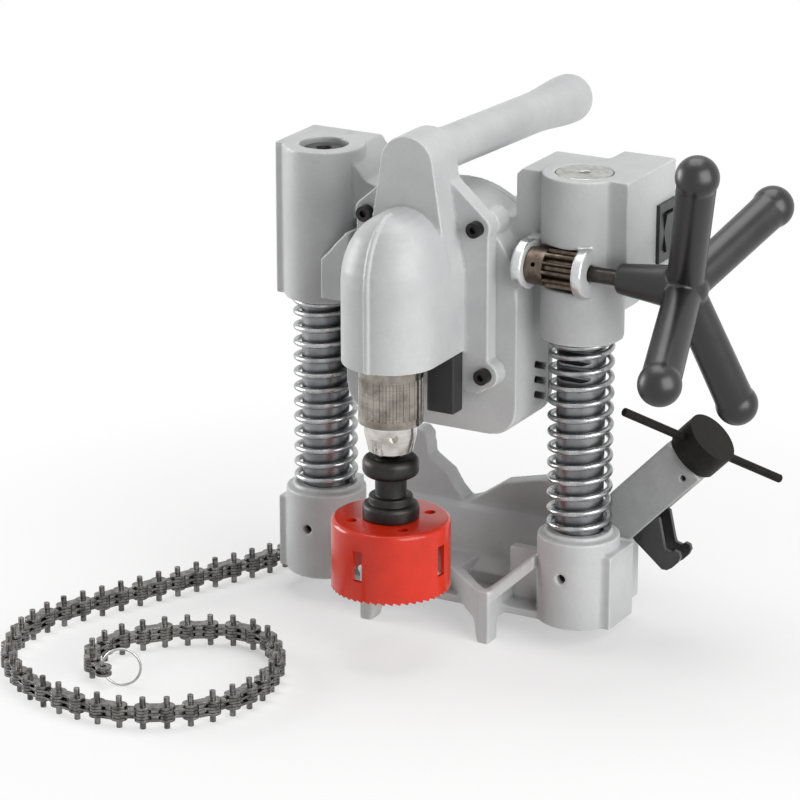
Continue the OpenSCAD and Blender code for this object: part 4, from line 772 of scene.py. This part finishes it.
@dataclass
class Cutter(SubAssembly):
    """Chuck, arbor, hole saw and pilot drill."""

    axis_y: float = -80.0
    chuck_edge: float = 0.6
    drill_edge: float = 0.3
    sides: int = 240
    arbor_sides: int = 80
    shank_r: float = 5.5
    shank_top: float = 165.0
    bore_r: float = 3.25
    collar_r: float = 18.0
    collar_z: tuple[float, float] = (122.0, 135.0)
    collar_round: float = 4.5
    neck_r: float = 10.0
    neck_fillet: float = 0.6
    nut: tuple[float, float] = (14.0, 109.0)
    nut_fillet: float = 0.4
    nut_round: float = 1.0
    plate_z: tuple[float, float] = (94.0, 104.0)
    plate_round: float = 3.0
    seat_round: float = 1.2
    shank_fillet: float = 1.0
    shank_round: float = 0.8
    spigot_r: float = 7.9
    spigot_round: float = 0.5
    saw_r: float = 38.0
    saw_z: tuple[float, float] = (48.0, 94.0)
    saw_wall: float = 2.4
    saw_plate: float = 4.6
    saw_shoulder: float = 3.0
    cup_fillet: float = 1.0
    teeth: int = 48
    tooth_depth: float = 1.8
    tooth_face: float = 0.2
    edge_slack: float = 0.01
    slot: tuple[float, float, float] = (7.0, 14.0, 34.0)
    slot_turn: float = -5.0
    pry_hole: tuple[float, float] = (25.84, 3.5)
    pry_turn: float = 45.0
    pry_sides: int = 32
    openings: int = 4

    def arbor(self) -> bpy.types.Object:
        """Turns the arbor, with its two rounded collars and the nut on the lower one.

        Returns:
            The arbor.
        """
        low, high = self.collar_z
        plate_low, plate_high = self.plate_z
        nut_r, nut_top = self.nut
        tip = plate_low - self.saw_plate
        corners = [(self.bore_r, tip, 0.0), (self.spigot_r, tip, self.spigot_round),
                   (self.spigot_r, plate_low, 0.0), (self.collar_r, plate_low, self.seat_round),
                   (self.collar_r, plate_high, self.plate_round), (nut_r, plate_high, self.nut_fillet),
                   (nut_r, nut_top, self.nut_round), (self.neck_r, nut_top, self.neck_fillet),
                   (self.neck_r, low, self.neck_fillet), (self.collar_r, low, self.collar_round),
                   (self.collar_r, high, self.collar_round), (self.shank_r, high, self.shank_fillet),
                   (self.shank_r, self.shank_top, self.shank_round), (self.bore_r, self.shank_top, 0.0)]
        axis = Vector((0.0, self.axis_y, 0.0))
        return turned("saw_arbor_dressed", rounded(corners), axis, self.arbor_sides)

    def blank(self) -> bpy.types.Object:
        """Turns the saw's cup and files its teeth.

        Returns:
            The cup, without its openings.
        """
        low, high = self.saw_z
        inner = self.saw_r - self.saw_wall
        root = low + 2 * self.tooth_depth
        corners = [(inner, low, 0.0), (self.saw_r, low, 0.0), (self.saw_r, root, 0.0),
                   (self.saw_r, high, self.saw_shoulder), (self.spigot_r, high, 0.0),
                   (self.spigot_r, high - self.saw_plate, 0.0), (inner, high - self.saw_plate, self.cup_fillet),
                   (inner, root, 0.0), (inner, low, 0.0)]
        axis = Vector((0.0, self.axis_y, 0.0))
        cup = turned("hole_saw_dressed", rounded(corners)[:-1], axis, self.sides)
        for corner in cup.data.vertices:
            if corner.co.z < (low + self.edge_slack) * MM:
                turn = math.atan2(corner.co.y - self.axis_y * MM, corner.co.x) / (2 * math.pi)
                share = turn * self.teeth % 1.0
                front = share / self.tooth_face
                back = (1.0 - share) / (1.0 - self.tooth_face)
                corner.co.z += self.tooth_depth * MM * min(front, back)
        return cup

    def slot_cutter(self, turn: float) -> bpy.types.Object:
        """Makes the block that cuts one slot through the cup's wall.

        Args:
            turn: direction of the slot from the axis, in radians.

        Returns:
            The block.
        """
        wide, slot_low, slot_high = self.slot
        along = Vector((math.cos(turn), math.sin(turn), 0.0))
        aside = Vector((-math.sin(turn), math.cos(turn), 0.0))
        middle = Vector((0.0, self.axis_y, self.saw_z[0])) + along * self.saw_r
        ring = [middle + aside * wide / 2 * s + along * wide * t + Vector((0.0, 0.0, z))
                for z in (slot_low, slot_high) for s, t in ((-1, -1), (-1, 1), (1, 1), (1, -1))]
        faces = [(0, 1, 2, 3), (7, 6, 5, 4), (0, 4, 5, 1), (1, 5, 6, 2), (2, 6, 7, 3), (3, 7, 4, 0)]
        return outward(mesh_object("slot_cutter", ring, faces))

    def pry_cutter(self, turn: float) -> bpy.types.Object:
        """Makes the rod that cuts one pry hole through the cup's top.

        Args:
            turn: direction of the hole from the axis, in radians.

        Returns:
            The rod.
        """
        out, hole_r = self.pry_hole
        high = self.saw_z[1]
        middle = Vector((out * math.cos(turn), self.axis_y + out * math.sin(turn), 0.0))
        ends = [middle + Vector((0.0, 0.0, z)) for z in (high - 2 * self.saw_plate, high + self.saw_plate)]
        return tube("pry_cutter", ends, hole_r, self.pry_sides)

    def cup(self) -> bpy.types.Object:
        """Cuts the slots and pry holes into the saw's cup.

        Returns:
            The cup.
        """
        cup = self.blank()
        cutters = []
        for step in range(self.openings):
            spaced = 360.0 / self.openings * step
            cutters.append(self.slot_cutter(math.radians(self.slot_turn + spaced)))
            cutters.append(self.pry_cutter(math.radians(self.pry_turn + spaced)))
        for cutter in cutters:
            cut = cup.modifiers.new(cutter.name, "BOOLEAN")
            cut.object = cutter
            cut.solver = "EXACT"
        settle(cup)
        for cutter in cutters:
            bpy.data.objects.remove(cutter)
        return outward(cup)

    def build(self) -> None:
        """Builds and dresses the cutter."""
        for node in ("chuck_sleeve", "chuck_jaws"):
            self.place(self.machined(node, self.chuck_edge), node)
        self.place(self.machined("chuck_body", self.chuck_edge), "chuck_body", finish=CHUCK_NOSE)
        self.place(self.arbor(), "saw_arbor")
        self.place(self.cup(), "hole_saw")
        self.place(self.machined("pilot_drill", self.drill_edge), "pilot_drill")


@dataclass
class FeedDrive(SubAssembly):
    """Feed shaft, pinion and the four-armed handle."""

    voxel: float = 0.9
    passes: int = 6
    faces_kept: float = 0.5
    tooth_edge: float = 0.15

    def build(self) -> None:
        """Builds and dresses the feed."""
        self.place(self.cast("feed_handle", self.voxel, self.passes, self.faces_kept), "feed_handle")
        self.place(self.machined("feed_pinion", self.tooth_edge), "feed_pinion")
        self.dress("feed_shaft", SHAFT_STEEL)


@dataclass
class InnerDrive(SubAssembly):
    """Motor, gears and bearings, which keep their CAD shapes inside the head."""

    nodes: tuple[str, ...] = (
        "column_bushes", "gear_plate", "field_core", "brush_holders", "armature_shaft", "armature_core",
        "commutator", "cooling_fan", "armature_bearings", "layshaft", "layshaft_wheel", "layshaft_carrier",
        "layshaft_bushes", "spindle", "crown_gear", "spindle_bearings")

    def build(self) -> None:
        """Dresses each inner part."""
        for node in self.nodes:
            self.dress(node)


@dataclass
class Studio:
    """Floor, soft lamps, sky and the camera, all in millimetres and degrees."""

    floor_half: float = 9000.0
    floor_drop: float = 0.1
    floor_colour: str = "#F2F2F2"
    fibre_colour: str = "#EFEFEE"
    fibre_size: float = 6.0
    floor_glow: float = 0.45
    glow_near: float = 150.0
    glow_far: float = 460.0
    sky_light: float = 0.06
    azimuth: float = 28.81
    elevation: float = 18.77
    distance: float = 2430.0
    target: tuple[float, float, float] = (-40.2, 5.0, 139.5)
    view_reach: float = 50000.0
    lens: float = 167.94
    sensor: float = 36.0
    lamps: tuple[tuple[str, tuple[float, float, float], float, float], ...] = (
        ("overhead_softbox", (-100.0, 200.0, 1500.0), 1100.0, 12.0),
        ("left_softbox", (-1500.0, -250.0, 400.0), 900.0, 19.0),
        ("right_softbox", (1400.0, -550.0, 700.0), 1400.0, 28.0),
    )

    def seen_white(self, tree: bpy.types.NodeTree) -> bpy.types.NodeSocket:
        """Finds the rays that should see a white ground: the camera's, and those in gloss and glass.

        Args:
            tree: node tree of the floor or the sky.

        Returns:
            Socket with 1 for such a ray.
        """
        path = add_node(tree, "ShaderNodeLightPath").outputs
        both = add_node(tree, "ShaderNodeMath", {"operation": "MAXIMUM"},
                        {0: path["Is Camera Ray"], 1: path["Is Glossy Ray"]}).outputs[0]
        return add_node(tree, "ShaderNodeMath", {"operation": "MAXIMUM"},
                        {0: both, 1: path["Is Transmission Ray"]}).outputs[0]

    def floor(self) -> None:
        """Lays a matt white floor that keeps the machine's shadow."""
        half = self.floor_half
        plan = ((-half, -half), (half, -half), (half, half), (-half, half))
        corners = [Vector((x, y, -self.floor_drop)) for x, y in plan]
        ground = mesh_object("studio_floor", corners, [(0, 1, 2, 3)])
        material = bpy.data.materials.new("matt_paper_sweep")
        material.use_nodes = True
        tree = material.node_tree
        tree.nodes.clear()
        place = add_node(tree, "ShaderNodeTexCoord").outputs["Object"]
        fibre = add_node(tree, "ShaderNodeTexNoise", {"Scale": per_metre(self.fibre_size)}, {"Vector": place})
        whites = {"data_type": "RGBA", MIX_FIRST: linear(self.floor_colour),
                  MIX_SECOND: linear(self.fibre_colour)}
        paper = add_node(tree, "ShaderNodeMix", whites, {MIX_SHARE: fibre.outputs["Fac"]}).outputs[MIX_RESULT]
        matt = add_node(tree, "ShaderNodeBsdfDiffuse", {}, {"Color": paper})
        glow = add_node(tree, "ShaderNodeEmission", {"Strength": 1.0})
        away = add_node(tree, "ShaderNodeVectorMath", {"operation": "LENGTH"}, {0: place}).outputs["Value"]
        span = {"From Min": self.glow_near * MM, "From Max": self.glow_far * MM, "To Min": self.floor_glow}
        glow_here = add_node(tree, "ShaderNodeMapRange", span, {"Value": away})
        share = add_node(tree, "ShaderNodeMath", {"operation": "MULTIPLY"},
                         {0: self.seen_white(tree), 1: glow_here.outputs["Result"]})
        mixed = add_node(tree, "ShaderNodeMixShader", {},
                         {0: share.outputs[0], 1: matt.outputs[0], 2: glow.outputs[0]})
        add_node(tree, "ShaderNodeOutputMaterial", {}, {"Surface": mixed.outputs[0]})
        ground.data.materials.append(material)

    def sky(self) -> None:
        """Surrounds the scene with even white light."""
        world = bpy.data.worlds.new("white_studio")
        world.use_nodes = True
        tree = world.node_tree
        tree.nodes.clear()
        level = add_node(tree, "ShaderNodeMapRange", {"To Min": self.sky_light, "To Max": 1.0},
                         {"Value": self.seen_white(tree)})
        light = add_node(tree, "ShaderNodeBackground", {"Color": (1.0, 1.0, 1.0, 1.0)},
                         {"Strength": level.outputs["Result"]})
        add_node(tree, "ShaderNodeOutputWorld", {}, {"Surface": light.outputs[0]})
        bpy.context.scene.world = world

    def lamp(self, name: str, place: tuple[float, float, float], size: float, power: float) -> None:
        """Hangs one square softbox that faces the machine.

        Args:
            name: name of the lamp.
            place: where it hangs.
            size: side of the softbox.
            power: power in watts.
        """
        data = bpy.data.lights.new(name, "AREA")
        data.size = size * MM
        data.energy = power
        box = bpy.data.objects.new(name, data)
        bpy.context.scene.collection.objects.link(box)
        box.location = Vector(place) * MM
        box.rotation_euler = (Vector(self.target) - Vector(place)).to_track_quat("-Z", "Y").to_euler()

    def camera(self) -> None:
        """Stands the camera where the photograph was taken from."""
        turn, tilt = math.radians(self.azimuth), math.radians(self.elevation)
        back = Vector((math.sin(turn) * math.cos(tilt), -math.cos(turn) * math.cos(tilt), math.sin(tilt)))
        data = bpy.data.cameras.new("photo_camera")
        data.sensor_fit = "HORIZONTAL"
        data.sensor_width = self.sensor
        data.lens = self.lens
        data.clip_end = self.view_reach * MM
        eye = bpy.data.objects.new("photo_camera", data)
        bpy.context.scene.collection.objects.link(eye)
        eye.location = (Vector(self.target) + self.distance * back) * MM
        eye.rotation_euler = (-back).to_track_quat("-Z", "Y").to_euler()
        bpy.context.scene.camera = eye

    def build(self) -> None:
        """Sets up the studio."""
        bpy.context.scene.view_settings.view_transform = "Standard"
        self.camera()
        self.floor()
        self.sky()
        for lamp in self.lamps:
            self.lamp(*lamp)


def main() -> None:
    """Builds the studio and each sub-assembly."""
    logging.basicConfig(level=logging.INFO, format="%(name)s: %(message)s")
    for part in (Studio(), SaddleBase(), ReturnSprings(), ChainClamp(), SlidingHead(), Cutter(), FeedDrive(),
                 InnerDrive()):
        part.build()
        log.info("%s done", type(part).__name__)


if __name__ == "__main__":
    main()
